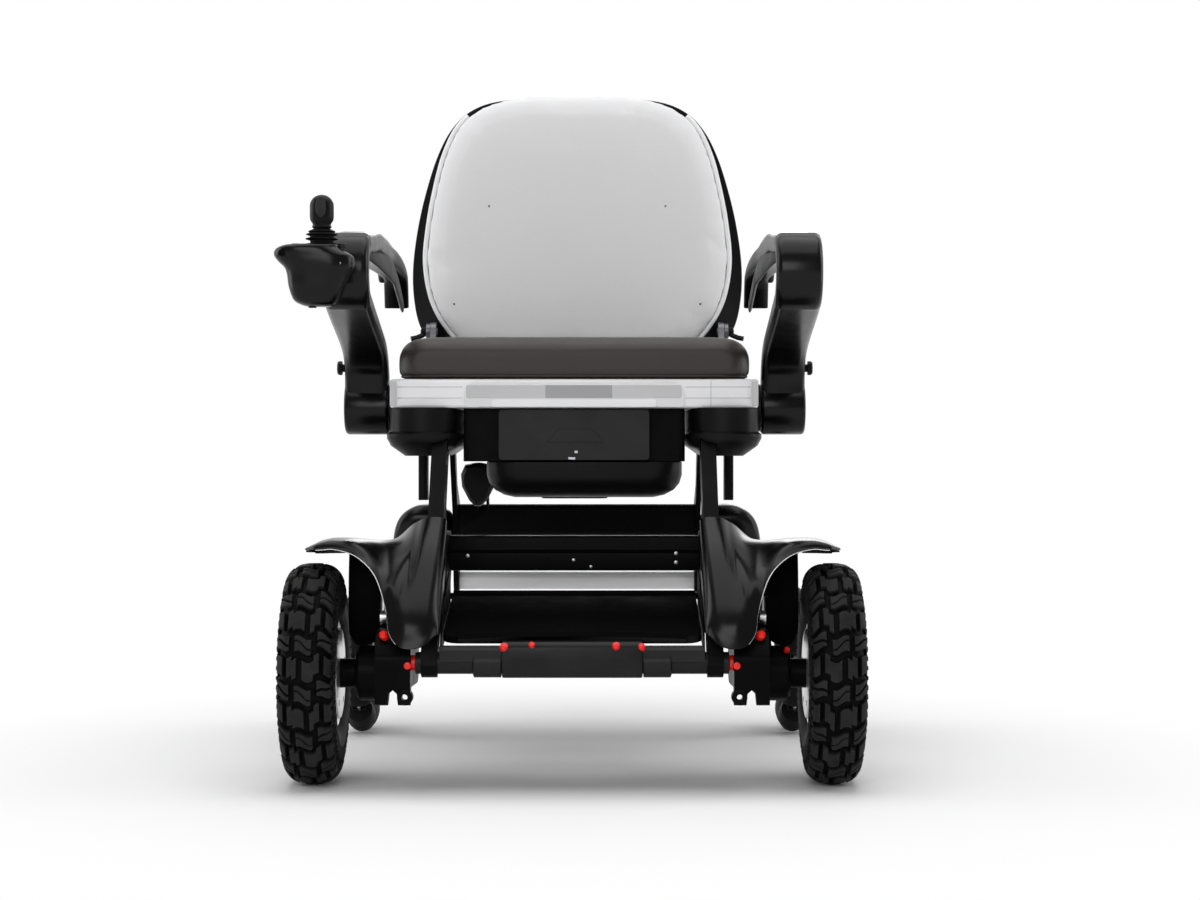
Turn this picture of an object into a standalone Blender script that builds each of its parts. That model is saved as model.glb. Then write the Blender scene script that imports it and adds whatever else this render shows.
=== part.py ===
"""Folding power wheelchair with front drive wheels, omni rear wheels and a two-leg folding frame.

Lengths are metres. +Z is up, the chair faces -Y, and +X is the user's left. The origin is on the
floor, under the middle of the chair. A depth is given as the distance behind the front axle and
turned into Y by behind().
"""

import math

import bmesh
import bpy
from mathutils import Matrix, Vector

# Running clearance between pieces that touch
GAP = 0.0003
SLIDING_FIT = 0.0006

# Wheels and their places
TYRE_RADIUS = 0.127
TREAD_DEPTH = 0.0050
TREAD_PITCHES = 18
TREAD_LUG_SHARE = 0.68
TREAD_SWEEP = 1.4
RIM_RADIUS = 0.062
RIM_FACE_RADIUS = 0.057
BEAD_FIT = 0.0009
RIM_INNER_FACE = 0.2690
FRONT_TRACK = 0.596
WHEELBASE = 0.528
OMNI_RADIUS = 0.100
OMNI_WIDTH = 0.040
REAR_TRACK = 0.584
ROLLERS = 8
ROLLER_RADIUS = 0.020
ROLLER_HALF_LENGTH = 0.0235
ROLLER_PIN_RADIUS = 0.0035
ROLLER_SIDES = 8
ROLLER_STEPS = 2
OMNI_HUB_RADIUS = 0.052
OMNI_HUB_HALF = 0.014
FORK_HALF = 0.0018

# Fold pivots, in depth behind the front axle and height
FRONT_PIVOT = (0.120, 0.400)
REAR_PIVOT = (0.360, 0.400)
FOLD_PIN_RADIUS = 0.008
FOLD_PIN_INNER = 0.147
FOLD_PIN_COVER = 0.015

# Seat
SEAT_HALF_WIDTH = 0.221
SEAT_FRONT = 0.098
SEAT_REAR = 0.500
SEAT_BOTTOM = 0.434
SEAT_HEIGHT = 0.035
SEAT_RAIL = 0.034
SEAT_PAN_THICKNESS = 0.010
PANEL_HALF_WIDTH = 0.131
PANEL_THICKNESS = 0.005
CUSHION_SIDE_BORDER = 0.013
CUSHION_FRONT_BORDER = 0.002
CUSHION_REAR_BORDER = 0.017
CUSHION_HEIGHT = 0.050
CUSHION_CROWN = 0.006
CUSHION_DRAW_IN = 0.004

# Fold: the front frame turns by this, and the rear frame as far as keeps all wheels level
FOLD_ANGLE = math.radians(27.0)
REAR_FOLD_ANGLE = math.radians(9.95)
REAR_LEG_HALF_DEPTH = 0.018
BUMP_STOP_INSET = 0.024
BUMP_STOP_HALF = 0.006
BUMP_STOP_HALF_DEPTH = 0.014
BUMP_STOP_DEPTH = 0.350
BUMP_STOP_BOTTOM = 0.3190

# Pods under the seat
HOUSING_INNER = 0.141
HOUSING_FRONT = 0.085
HOUSING_REAR = 0.420
HOUSING_BAND = 0.028
HOUSING_BOWL = 0.029
BATTERY_HALF_WIDTH = 0.090
BATTERY_FACE_STEP = 0.0034
BOX_STEP = 0.0137
BATTERY_FACE = 0.010
BATTERY_LENGTH = 0.190
BATTERY_BODY = 0.0850
BATTERY_LEDGE = 0.006
BATTERY_HEADROOM = 0.004
BATTERY_BOTTOM = 0.3720
BATTERY_TOP = 0.4325
BOX_HALF_WIDTH = 0.133
BOX_REAR = 0.400
POD_FRONT = 0.105
POD_REAR = 0.268
POD_HALF_WIDTH = 0.118
POD_CENTRE_X = 0.012
POD_BOTTOM = 0.327
POD_TOP = 0.3700

# Front frame
LEG_CENTRE = 0.160
LEG_THICKNESS = 0.018
LEG_HALF_DEPTH = 0.020
PIVOT_TUBE_RADIUS = 0.0125
PIVOT_TUBE_PLACE = (-0.085, 0.146)
PIVOT_TUBE_HALF = 0.1755
STUB_RADIUS = 0.0060
SLEEVE_RADIUS = 0.0185
SLEEVE_HALF = 0.0785
COLLAR_END = 0.110
COLLAR_RADIUS = 0.0165
LEG_END_RADIUS = 0.0165
BUSHING_RADIUS = 0.0088
CROSSBEAM_PLACE = (0.155, 0.259)
CROSSBEAM_HEIGHT = 0.042
CROSSBEAM_DEPTH = 0.036
SHROUD_WALL = 0.0025
SHROUD_BOLT = (-0.0143, 0.291)
BOLT_RADIUS = 0.006
BOLT_HEAD = 0.0035

# Footplate
FOOTPLATE_HALF_WIDTH = 0.1455
FOOTPLATE_HINGE = (0.120, 0.2085)
FOOTPLATE_LENGTH = 0.212
FOOTPLATE_SLOPE = math.radians(10.0)
FOOTPLATE_THICKNESS = 0.008
HINGE_PIN_RADIUS = 0.004

# Swing arms, brakes and shock absorbers
ARM_INNER = 0.1805
ARM_OUTER = 0.2205
ARM_BOTTOM = 0.0993
ARM_TOP = 0.1810
MOTOR_RADIUS = 0.032
MOTOR_OUTER = 0.2495
AXLE_RADIUS = 0.010
SHOCK_X = 0.2180
SHOCK_LOW = (-0.010, 0.192)
SHOCK_HIGH = (0.012, 0.256)
SHOCK_RADIUS = 0.0075
SHOCK_ROD_RADIUS = 0.0040
SHOCK_PIN_RADIUS = 0.0050
SHOCK_EYE_HALF = 0.0045
SHOCK_BODY_LENGTH = 0.043
SHOCK_ROD_TOP = 0.024

# Rear frame
REAR_LEG_CENTRE = 0.1605
REAR_LEG_THICKNESS = 0.007
CROSSBAR_PLACE = (0.450, 0.2905)
CROSSBAR_HEIGHT = 0.041
CROSSBAR_DEPTH = 0.046
CROSS_TUBE_PLACE = (0.4665, 0.209)
CROSS_TUBE_RADIUS = 0.012

# Fold actuator on the user's right
ACTUATOR_X = -0.124
ACTUATOR_PIVOT = (0.300, 0.341)
ACTUATOR_END = (0.424, 0.328)
ACTUATOR_TUBE_RADIUS = 0.010
ACTUATOR_TUBE_LENGTH = 0.080
ACTUATOR_PIN = 0.004
ACTUATOR_PIN_DEPTH = 0.010
MOTOR_HALF_WIDTH = 0.0215
ACTUATOR_ROD_RADIUS = 0.005
EAR_GAP = 0.0050
EAR_THICKNESS = 0.0030
EAR_PIN_RADIUS = 0.0030

# Backrest
BACK_HINGE_BEHIND_SEAT = 0.030
BACK_HINGE = (SEAT_REAR + BACK_HINGE_BEHIND_SEAT, 0.545)
BACK_FACE_BEHIND_HINGE = 0.0145
BACK_FACE = BACK_HINGE[0] + BACK_FACE_BEHIND_HINGE
SHELL_DEPTH = 0.0340
SHELL_OVERHANG = 0.0055
PAD_BORDER = 0.0203
PAD_DEPTH = 0.0222
HANDLE_RADIUS = 0.011
HANDLE_HALF = 0.080
HANDLE_HEIGHT = 0.785
HANDLE_STANDOFF = 0.036
LEVER_PIN_RADIUS = 0.003
LEVER_RADIUS = 0.0038
LEVER_REACH = 0.0185
BACK_PIN_RADIUS = 0.005
BACK_BRACKET_INSET = 0.029
BACK_BRACKET_X = SEAT_HALF_WIDTH - BACK_BRACKET_INSET
BACK_BRACKET_THICKNESS = 0.008
BACK_LUG_THICKNESS = 0.0055
LEVER_GAP = 0.0020
LEVER_X = BACK_BRACKET_X + BACK_BRACKET_THICKNESS + BACK_LUG_THICKNESS + LEVER_GAP

# Armrests
ARM_FLANGE_RADIUS = 0.0295
ARMREST_HINGE = (0.220, 0.436)
ARM_FLANGE_WIDTH = 0.0090
ARMREST_WIDTH = 0.0540
ARMREST_INNER = SEAT_HALF_WIDTH + ARM_FLANGE_WIDTH
ARMREST_OUTER = ARMREST_INNER + ARMREST_WIDTH
ARMREST_BARREL = 0.033
ARMREST_PIN = 0.010
CURL_PLACE = (-0.022, 0.5875)
CURL_RADIUS = 0.033
BAND_HALF = 0.0125
ARM_LOCK_PLACE = (0.208, 0.485)
ARM_LOCK_STEM = 0.005
ARM_LOCK_TRAVEL = 0.003
ARM_LOCK_REACH = 0.012
ARM_LOCK_END_GAP = 0.004

# Joystick
POD_X = -ARMREST_OUTER + 0.001
POD_DEPTH = -0.0985
POD_ABOVE_CURL = 0.0255
POD_TOP_HEIGHT = CURL_PLACE[1] + POD_ABOVE_CURL
STICK_X = POD_X + 0.004
STICK_RADIUS = 0.0134
STICK_TOP = POD_TOP_HEIGHT + 0.056
STICK_TILT_HEIGHT = POD_TOP_HEIGHT - 0.008
BOOT_RADIUS = 0.0200
BOOT_SEAT_RADIUS = 0.0165
BOOT_NECK = 0.0100
BOOT_SEAT_FLOOR = POD_TOP_HEIGHT - 0.020
GIMBAL_PIN_RADIUS = 0.0025
STICK_BALL = 0.0278
BUTTON_TRAVEL = 0.0015
BUTTON_FLOOR = POD_TOP_HEIGHT - 0.0055
POWER_BUTTON_X = POD_X - 0.025
POWER_BUTTON_RADIUS = 0.0055
SPEED_BUTTON_X = POD_X + 0.027
SPEED_BUTTON_RADIUS = 0.0045

ORIGIN_TO_FRONT_AXLE = (TYRE_RADIUS + WHEELBASE + OMNI_RADIUS) / 2 - TYRE_RADIUS


def behind(depth):
    """Y of a point this far behind the front axle."""
    return depth - ORIGIN_TO_FRONT_AXLE


# Planes that a flat outline is drawn in: its own x, y and thickness as world directions
SIDE = Matrix(((0, 0, 1, 0), (1, 0, 0, 0), (0, 1, 0, 0), (0, 0, 0, 1)))
FRONT = Matrix(((1, 0, 0, 0), (0, 0, -1, 0), (0, 1, 0, 0), (0, 0, 0, 1)))
TOP = Matrix.Identity(4)

LOOKS = {
    "white_paint": ((0.80, 0.80, 0.82), 0.30, 0.0),
    "black_plastic": ((0.012, 0.012, 0.013), 0.38, 0.0),
    "dark_plastic": ((0.028, 0.028, 0.030), 0.42, 0.0),
    "dark_metal": ((0.030, 0.030, 0.032), 0.35, 0.6),
    "silver_metal": ((0.72, 0.72, 0.74), 0.25, 1.0),
    "grey_gloss": ((0.62, 0.62, 0.64), 0.20, 0.0),
    "tyre_rubber": ((0.020, 0.020, 0.020), 0.75, 0.0),
    "brown_leather": ((0.035, 0.026, 0.023), 0.55, 0.0),
    "pale_fabric": ((0.62, 0.62, 0.63), 0.85, 0.0),
    "red_plastic": ((0.75, 0.02, 0.01), 0.35, 0.0),
}


def clear_scene():
    for thing in list(bpy.data.objects):
        bpy.data.objects.remove(thing, do_unlink=True)


def new_collection(name):
    group = bpy.data.collections.new(name)
    bpy.context.scene.collection.children.link(group)
    return group


clear_scene()
PARTS = new_collection("power_wheelchair")
TOOLS = new_collection("cutting_tools")
BODIES = {}


def material(look):
    """Principled material of this name, made once."""
    found = bpy.data.materials.get(look)
    if found:
        return found
    colour, roughness, metallic = LOOKS[look]
    made = bpy.data.materials.new(look)
    made.use_nodes = True
    shader = made.node_tree.nodes["Principled BSDF"]
    shader.inputs["Base Color"].default_value = (*colour, 1)
    shader.inputs["Roughness"].default_value = roughness
    shader.inputs["Metallic"].default_value = metallic
    made.diffuse_color = (*colour, 1)
    return made


def body(name, location, parent=None):
    """Empty on a joint's axis that carries the pieces of one moving body."""
    made = bpy.data.objects.new(name + "_axis", None)
    made.empty_display_size = 0.03
    PARTS.objects.link(made)
    place = Vector(location)
    if parent:
        made.parent = BODIES[parent]
        place = place - world_place(parent)
    made.location = place
    BODIES[name] = made
    return made


def world_place(name):
    """World position of a body's empty, which is never turned."""
    place = Vector()
    empty = BODIES[name]
    while empty:
        place += empty.location
        empty = empty.parent
    return place


def attach(piece, carrier):
    """Hangs a piece, placed in world coordinates, on a body."""
    piece.parent = BODIES[carrier]
    piece.location = piece.location - world_place(carrier)
    return piece


def finished(name, mesh, look, carrier):
    """Object of a finished mesh, in its body and with its material."""
    mesh.materials.clear()
    mesh.materials.append(material(look))
    mesh.shade_smooth()
    mesh.set_sharp_from_angle(angle=math.radians(32))
    piece = bpy.data.objects.new(name, mesh)
    PARTS.objects.link(piece)
    return attach(piece, carrier)


def tool(name, mesh):
    """Hidden object that a Boolean cuts or joins with, in world coordinates."""
    piece = bpy.data.objects.new(name, mesh)
    TOOLS.objects.link(piece)
    piece.hide_render = True
    piece.display_type = "WIRE"
    return piece


def boolean(piece, other, operation):
    change = piece.modifiers.new(operation.lower() + "_" + other.name, "BOOLEAN")
    change.operation = operation
    change.solver = "EXACT"
    change.object = other
    return piece


def cut(piece, mesh):
    return boolean(piece, tool(piece.name + "_cut", mesh), "DIFFERENCE")


def join(piece, mesh):
    return boolean(piece, tool(piece.name + "_add", mesh), "UNION")


def bevel(piece, width, segments=2, angle=32):
    change = piece.modifiers.new("edge_rounding", "BEVEL")
    change.width = width
    change.segments = segments
    change.limit_method = "ANGLE"
    change.angle_limit = math.radians(angle)
    change.harden_normals = False
    return piece


def mesh_of(bm, name):
    bmesh.ops.recalc_face_normals(bm, faces=bm.faces)
    mesh = bpy.data.meshes.new(name)
    bm.to_mesh(mesh)
    bm.free()
    return mesh


def rounded(corners, steps=3):
    """Outline through corners (u, v, radius), each rounded by an arc of its radius."""
    outline = []
    for index, (u, v, radius) in enumerate(corners):
        here = Vector((u, v))
        if radius <= 0:
            outline.append((u, v))
            continue
        into = (Vector(corners[index - 1][:2]) - here).normalized()
        out = (Vector(corners[(index + 1) % len(corners)][:2]) - here).normalized()
        half = into.angle(out) / 2
        centre = here + (into + out).normalized() * (radius / math.sin(half))
        start = here + into * (radius / math.tan(half)) - centre
        end = here + out * (radius / math.tan(half)) - centre
        first = math.atan2(start.y, start.x)
        turn = (math.atan2(end.y, end.x) - first + math.pi) % math.tau - math.pi
        for step in range(steps + 1):
            angle = first + turn * step / steps
            outline.append((centre.x + radius * math.cos(angle), centre.y + radius * math.sin(angle)))
    return outline


def box_outline(low_u, low_v, high_u, high_v, radius, steps=3):
    return rounded([(low_u, low_v, radius), (high_u, low_v, radius),
                    (high_u, high_v, radius), (low_u, high_v, radius)], steps)


def disc_outline(u, v, radius, sides=24):
    return [(u + radius * math.cos(math.tau * (i + 0.5) / sides),
             v + radius * math.sin(math.tau * (i + 0.5) / sides)) for i in range(sides)]


def smooth_curve(points, steps=4, closed=False):
    """Catmull-Rom curve through points of any dimension."""
    count = len(points)
    spans = count if closed else count - 1
    curve = []
    for i in range(spans):
        if closed:
            a, b, c, d = (Vector(points[(i + k) % count]) for k in (-1, 0, 1, 2))
        else:
            b, c = Vector(points[i]), Vector(points[i + 1])
            a = Vector(points[i - 1]) if i > 0 else 2 * b - c
            d = Vector(points[i + 2]) if i + 2 < count else 2 * c - b
        for step in range(steps):
            f = step / steps
            curve.append(0.5 * (2 * b + (c - a) * f + (2 * a - 5 * b + 4 * c - d) * f * f
                                + (3 * b - a - 3 * c + d) * f ** 3))
    if not closed:
        curve.append(Vector(points[-1]))
    return curve


def plate_mesh(name, outline, plane, low, high, holes=()):
    """Flat outline with holes, filled and given a thickness along its plane's normal."""
    curve = bpy.data.curves.new(name, "CURVE")
    curve.dimensions = "2D"
    curve.fill_mode = "BOTH"
    curve.extrude = (high - low) / 2
    for loop in (outline, *holes):
        spline = curve.splines.new("POLY")
        spline.points.add(len(loop) - 1)
        for point, (u, v) in zip(spline.points, loop):
            point.co = (u, v, 0, 1)
        spline.use_cyclic_u = True
    return solid_of_curve(name, curve, plane @ Matrix.Translation((0, 0, (low + high) / 2)))


def tube_mesh(name, points, radius, resolution=3):
    """Round bar of one radius along points in world coordinates."""
    curve = bpy.data.curves.new(name, "CURVE")
    curve.dimensions = "3D"
    curve.bevel_depth = radius
    curve.bevel_resolution = resolution
    curve.use_fill_caps = True
    spline = curve.splines.new("POLY")
    spline.points.add(len(points) - 1)
    for point, place in zip(spline.points, points):
        point.co = (*place, 1)
    return solid_of_curve(name, curve, Matrix.Identity(4))


def solid_of_curve(name, curve, matrix):
    """Welded mesh of a curve object, in world coordinates."""
    guide = bpy.data.objects.new(name + "_guide", curve)
    TOOLS.objects.link(guide)
    bpy.context.view_layer.update()
    shape = bpy.data.meshes.new_from_object(guide.evaluated_get(bpy.context.evaluated_depsgraph_get()))
    bpy.data.objects.remove(guide, do_unlink=True)
    bm = bmesh.new()
    bm.from_mesh(shape)
    bmesh.ops.transform(bm, matrix=matrix, verts=bm.verts)
    bmesh.ops.remove_doubles(bm, verts=bm.verts, dist=0.00001)
    return mesh_of(bm, name)


def cylinder_mesh(name, start, end, radius, sides=24, end_radius=None):
    """Cylinder or cone between two points in world coordinates."""
    start, end = Vector(start), Vector(end)
    axis = end - start
    bm = bmesh.new()
    bmesh.ops.create_cone(bm, cap_ends=True, segments=sides, radius1=radius,
                          radius2=radius if end_radius is None else end_radius, depth=axis.length)
    turn = axis.to_track_quat("Z", "Y").to_matrix().to_4x4()
    bmesh.ops.transform(bm, matrix=Matrix.Translation((start + end) / 2) @ turn, verts=bm.verts)
    return mesh_of(bm, name)


def side_bar(name, place, low_x, high_x, radius, sides=24):
    """Cylinder across the chair at a (depth, height) place."""
    return plate_mesh(name, disc_outline(behind(place[0]), place[1], radius, sides), SIDE, low_x, high_x)


def box_mesh(name, low, high):
    bm = bmesh.new()
    bmesh.ops.create_cube(bm, size=1)
    low, high = Vector(low), Vector(high)
    size = Matrix.Diagonal((*(high - low), 1))
    bmesh.ops.transform(bm, matrix=Matrix.Translation((low + high) / 2) @ size, verts=bm.verts)
    return mesh_of(bm, name)


def loft_mesh(name, rings):
    """Closed solid through rings of equal point counts, with flat ends."""
    bm = bmesh.new()
    loops = [[bm.verts.new(point) for point in ring] for ring in rings]
    for first, second in zip(loops, loops[1:]):
        for i in range(len(first)):
            j = (i + 1) % len(first)
            bm.faces.new((first[i], first[j], second[j], second[i]))
    bm.faces.new(loops[0])
    bm.faces.new(loops[-1])
    return mesh_of(bm, name)


def turned_mesh(name, profile, axis_matrix, sides=24):
    """Profile of (radius, height) points turned about its own Z and placed by a matrix."""
    bm = bmesh.new()
    verts = [bm.verts.new((radius, 0, height)) for radius, height in profile]
    for first, second in zip(verts, verts[1:]):
        bm.edges.new((first, second))
    mesh = bpy.data.meshes.new(name)
    bm.to_mesh(mesh)
    bm.free()
    guide = bpy.data.objects.new(name + "_guide", mesh)
    TOOLS.objects.link(guide)
    screw = guide.modifiers.new("turn", "SCREW")
    screw.axis = "Z"
    screw.steps = sides
    screw.render_steps = sides
    screw.use_merge_vertices = True
    screw.merge_threshold = 0.00001
    bpy.context.view_layer.update()
    shape = bpy.data.meshes.new_from_object(guide.evaluated_get(bpy.context.evaluated_depsgraph_get()))
    bpy.data.objects.remove(guide, do_unlink=True)
    bm = bmesh.new()
    bm.from_mesh(shape)
    bmesh.ops.remove_doubles(bm, verts=bm.verts, dist=0.00001)
    bmesh.ops.transform(bm, matrix=axis_matrix, verts=bm.verts)
    return mesh_of(bm, name)


def joined_mesh(name, meshes):
    """Several meshes as one, for a tool that joins or cuts them all at once."""
    bm = bmesh.new()
    for mesh in meshes:
        bm.from_mesh(mesh)
    made = bpy.data.meshes.new(name)
    bm.to_mesh(made)
    bm.free()
    return made


def across(place, x):
    """World point at a (depth, height) place and this X."""
    return Vector((x, behind(place[0]), place[1]))


def mirrored(outline):
    """Front outline of the other side, in the same turning sense."""
    return [(-u, v) for u, v in reversed(outline)]


SIDES = (("right", -1), ("left", 1))


def place_bodies():
    """Empties of the moving bodies, each on its joint's axis."""
    body("root", (0, 0, 0))
    body("front_frame", across(FRONT_PIVOT, 0), "root")
    body("rear_frame", across(REAR_PIVOT, 0), "root")
    body("footplate", across(FOOTPLATE_HINGE, 0), "front_frame")
    body("battery", across((SEAT_FRONT, BATTERY_BOTTOM), 0), "root")
    body("backrest", across(BACK_HINGE, 0), "root")
    body("actuator", across(ACTUATOR_PIVOT, ACTUATOR_X), "root")
    body("actuator_rod", across(ACTUATOR_END, ACTUATOR_X), "actuator")
    for side, s in SIDES:
        body("swing_arm_" + side, across(PIVOT_TUBE_PLACE, s * ARM_INNER), "front_frame")
        body("shock_" + side, across(SHOCK_HIGH, s * SHOCK_X), "front_frame")
        body("shock_rod_" + side, across(SHOCK_LOW, s * SHOCK_X), "shock_" + side)
        body("front_wheel_" + side, across((0, TYRE_RADIUS), s * FRONT_TRACK / 2), "swing_arm_" + side)
        body("rear_wheel_" + side, across((WHEELBASE, OMNI_RADIUS), s * REAR_TRACK / 2), "rear_frame")
        body("armrest_" + side, across(ARMREST_HINGE, s * ARMREST_INNER), "root")
        body("arm_lock_" + side, across(ARM_LOCK_PLACE, s * ARMREST_OUTER), "armrest_" + side)
        body("recline_lever_" + side, across(BACK_HINGE, s * LEVER_X), "backrest")
    stick = (POD_DEPTH, STICK_TILT_HEIGHT)
    body("joystick_gimbal", across(stick, STICK_X), "armrest_right")
    body("joystick_stick", across(stick, STICK_X), "joystick_gimbal")
    body("power_button", across((POD_DEPTH, POD_TOP_HEIGHT), POWER_BUTTON_X), "armrest_right")
    body("speed_button", across((POD_DEPTH, POD_TOP_HEIGHT), SPEED_BUTTON_X), "armrest_right")


def plan_box(half_x, front, rear, radius, steps=3):
    """Rounded rectangle seen from above, between two depths."""
    return box_outline(-half_x, behind(front), half_x, behind(rear), radius, steps)


SEAT_TOP = SEAT_BOTTOM + SEAT_HEIGHT


def make_seat_frame():
    inside = plan_box(SEAT_HALF_WIDTH - SEAT_RAIL, SEAT_FRONT + SEAT_RAIL, SEAT_REAR - SEAT_RAIL, 0.012)
    outside = plan_box(SEAT_HALF_WIDTH, SEAT_FRONT, SEAT_REAR, 0.016)
    ring = plate_mesh("seat_frame", outside, TOP, SEAT_BOTTOM, SEAT_TOP, [inside])
    frame = finished("seat_frame", ring, "white_paint", "root")
    bevel(frame, 0.0025, 1, 60)

    pan = plan_box(SEAT_HALF_WIDTH - SEAT_RAIL - GAP, SEAT_FRONT + SEAT_RAIL + GAP,
                   SEAT_REAR - SEAT_RAIL - GAP, 0.012)
    plate = plate_mesh("seat_pan", pan, TOP, SEAT_TOP - SEAT_PAN_THICKNESS, SEAT_TOP)
    finished("seat_pan", plate, "dark_metal", "root")


def make_seat_front_panel():
    """Glossy panel on the front rail, with a lip under it and a shallow window."""
    bottom = SEAT_BOTTOM + 0.0012
    top = SEAT_BOTTOM + 0.031
    face = rounded([(-PANEL_HALF_WIDTH, bottom, 0.002), (PANEL_HALF_WIDTH, bottom, 0.002),
                    (PANEL_HALF_WIDTH, top, 0.014), (-PANEL_HALF_WIDTH, top, 0.014)])
    back = -behind(SEAT_FRONT) + GAP
    panel = finished("seat_front_panel",
                     plate_mesh("seat_front_panel", face, FRONT, back, back + PANEL_THICKNESS),
                     "grey_gloss", "root")
    lip = box_outline(-0.098, bottom + 0.0004, 0.098, bottom + 0.0085, 0.003)
    join(panel, plate_mesh("panel_lip", lip, FRONT, back + 0.001, back + PANEL_THICKNESS + 0.003))
    window = box_outline(-0.034, top - 0.017, 0.046, top - 0.004, 0.001)
    cut(panel, plate_mesh("panel_window", window, FRONT, back + PANEL_THICKNESS - 0.0008,
                          back + PANEL_THICKNESS + 0.01))


def cushion_ring(half_x, front, rear, radius, height, draw_in, steps=4):
    """Rounded rectangle whose sides pull in between its corners."""
    middle = (behind(front) + behind(rear)) / 2
    half_y = (rear - front) / 2
    ring = []
    corners = box_outline(-half_x, -half_y, half_x, half_y, radius, 3)
    dense = []
    for i, (u, v) in enumerate(corners):
        after = corners[(i + 1) % len(corners)]
        length = math.hypot(after[0] - u, after[1] - v)
        pieces = steps if length > radius else 1
        for k in range(pieces):
            dense.append((u + (after[0] - u) * k / pieces, v + (after[1] - v) * k / pieces))
    for u, v in dense:
        pull_x = draw_in * (1 - (v / half_y) ** 2) * (u / half_x)
        pull_y = draw_in * (1 - (u / half_x) ** 2) * (v / half_y)
        ring.append((u - pull_x, middle + v - pull_y, height))
    return ring


def make_seat_cushion():
    """Crowned cushion: (inset, share of the height) from its flat underside to the crown."""
    base = SEAT_TOP + GAP
    half = SEAT_HALF_WIDTH - CUSHION_SIDE_BORDER
    front = SEAT_FRONT + CUSHION_FRONT_BORDER
    rear = SEAT_REAR - CUSHION_REAR_BORDER
    corner = 0.030
    steps = ((0.009, 0.0), (0.002, 0.10), (0.0, 0.34), (0.001, 0.60), (0.006, 0.83), (0.014, 0.96), (0.030, 1.03))
    rings = []
    for inset, share in steps:
        rings.append(cushion_ring(half - inset, front + inset, rear - inset, corner,
                                  base + (CUSHION_HEIGHT - CUSHION_CROWN) * share, CUSHION_DRAW_IN))
    edge = base + (CUSHION_HEIGHT - CUSHION_CROWN) * steps[-1][1]
    crown = base + CUSHION_HEIGHT - edge
    for share in (0.42, 0.76):
        inset = corner + share * (half - 2 * corner)
        rings.append(cushion_ring(half - inset, front + inset, rear - inset, corner * (1 - share * 0.7),
                                  edge + crown * (1 - (1 - share) ** 2), 0))
    finished("seat_cushion", loft_mesh("seat_cushion", rings), "brown_leather", "root")


def pod_rings(low_x, high_x, front, rear, radius, levels, steps=4):
    """Rings of a pod seen from above, inset at each height of levels."""
    rings = []
    for inset, height in levels:
        outline = box_outline(low_x + inset, behind(front + inset), high_x - inset, behind(rear - inset),
                              max(radius - inset, 0.004), steps)
        rings.append([(u, v, height) for u, v in outline])
    return rings


def leg_slot(pivot, reach, lean_low, lean_high, half_depth, steps=4):
    """Side outline of the slot that a leg swings in, between two leans from the vertical."""
    place = Vector((behind(pivot[0]), pivot[1]))
    first = math.pi + lean_low
    arc = []
    for step in range(steps + 1):
        angle = first + (lean_high - first) * step / steps
        arc.append(place + half_depth * Vector((math.cos(angle), math.sin(angle))))
    down_low = reach * Vector((math.sin(lean_low), -math.cos(lean_low)))
    down_high = reach * Vector((math.sin(lean_high), -math.cos(lean_high)))
    return [tuple(p) for p in [arc[0] + down_low] + arc + [arc[-1] + down_high]]


FRONT_LEAN = math.atan2(PIVOT_TUBE_PLACE[0] - FRONT_PIVOT[0], FRONT_PIVOT[1] - PIVOT_TUBE_PLACE[1])
REAR_LEAN = math.atan2(WHEELBASE - REAR_PIVOT[0], REAR_PIVOT[1] - OMNI_RADIUS)


def make_side_housings():
    """Pod under each side of the frame, slotted for the two legs, with the pin of each leg."""
    band_low = SEAT_BOTTOM - HOUSING_BAND
    levels = [(0.0, SEAT_BOTTOM - GAP), (0.0, band_low), (-0.004, band_low - 0.003), (-0.004, band_low - 0.008),
              (0.001, band_low - 0.017), (0.018, band_low - HOUSING_BOWL)]
    for side, s in SIDES:
        rings = pod_rings(HOUSING_INNER, SEAT_HALF_WIDTH, HOUSING_FRONT, HOUSING_REAR, 0.034, levels, 3)
        rings = [[(s * u, v, height) for u, v, height in ring] for ring in rings]
        name = "side_housing_" + side
        pod = finished(name, loft_mesh(name, rings), "black_plastic", "root")
        front = leg_slot(FRONT_PIVOT, 0.09, FRONT_LEAN, FRONT_LEAN + FOLD_ANGLE, LEG_HALF_DEPTH + 0.0015)
        rear = leg_slot(REAR_PIVOT, 0.09, REAR_LEAN - REAR_FOLD_ANGLE, REAR_LEAN, REAR_LEG_HALF_DEPTH + 0.0015)
        for centre, half, outline in ((LEG_CENTRE, LEG_THICKNESS / 2, front),
                                      (REAR_LEG_CENTRE, REAR_LEG_THICKNESS / 2, rear)):
            low, high = sorted((s * (centre - half - SLIDING_FIT), s * (centre + half + SLIDING_FIT)))
            cut(pod, plate_mesh("slot", outline, SIDE, low, high))
        low, high = sorted((s * FOLD_PIN_INNER, s * (SEAT_HALF_WIDTH - FOLD_PIN_COVER)))
        pins = [side_bar("pin", place, low, high, FOLD_PIN_RADIUS, 12) for place in (FRONT_PIVOT, REAR_PIVOT)]
        stop_x, stop_y = s * (SEAT_HALF_WIDTH - BUMP_STOP_INSET), behind(BUMP_STOP_DEPTH)
        stop = box_outline(stop_x - BUMP_STOP_HALF, stop_y - BUMP_STOP_HALF_DEPTH,
                           stop_x + BUMP_STOP_HALF, stop_y + BUMP_STOP_HALF_DEPTH, BUMP_STOP_HALF / 2, 2)
        stop_plate = plate_mesh("stop", stop, TOP, BUMP_STOP_BOTTOM, band_low - 0.006)
        join(pod, joined_mesh("pins_and_stop", pins + [stop_plate]))


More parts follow.
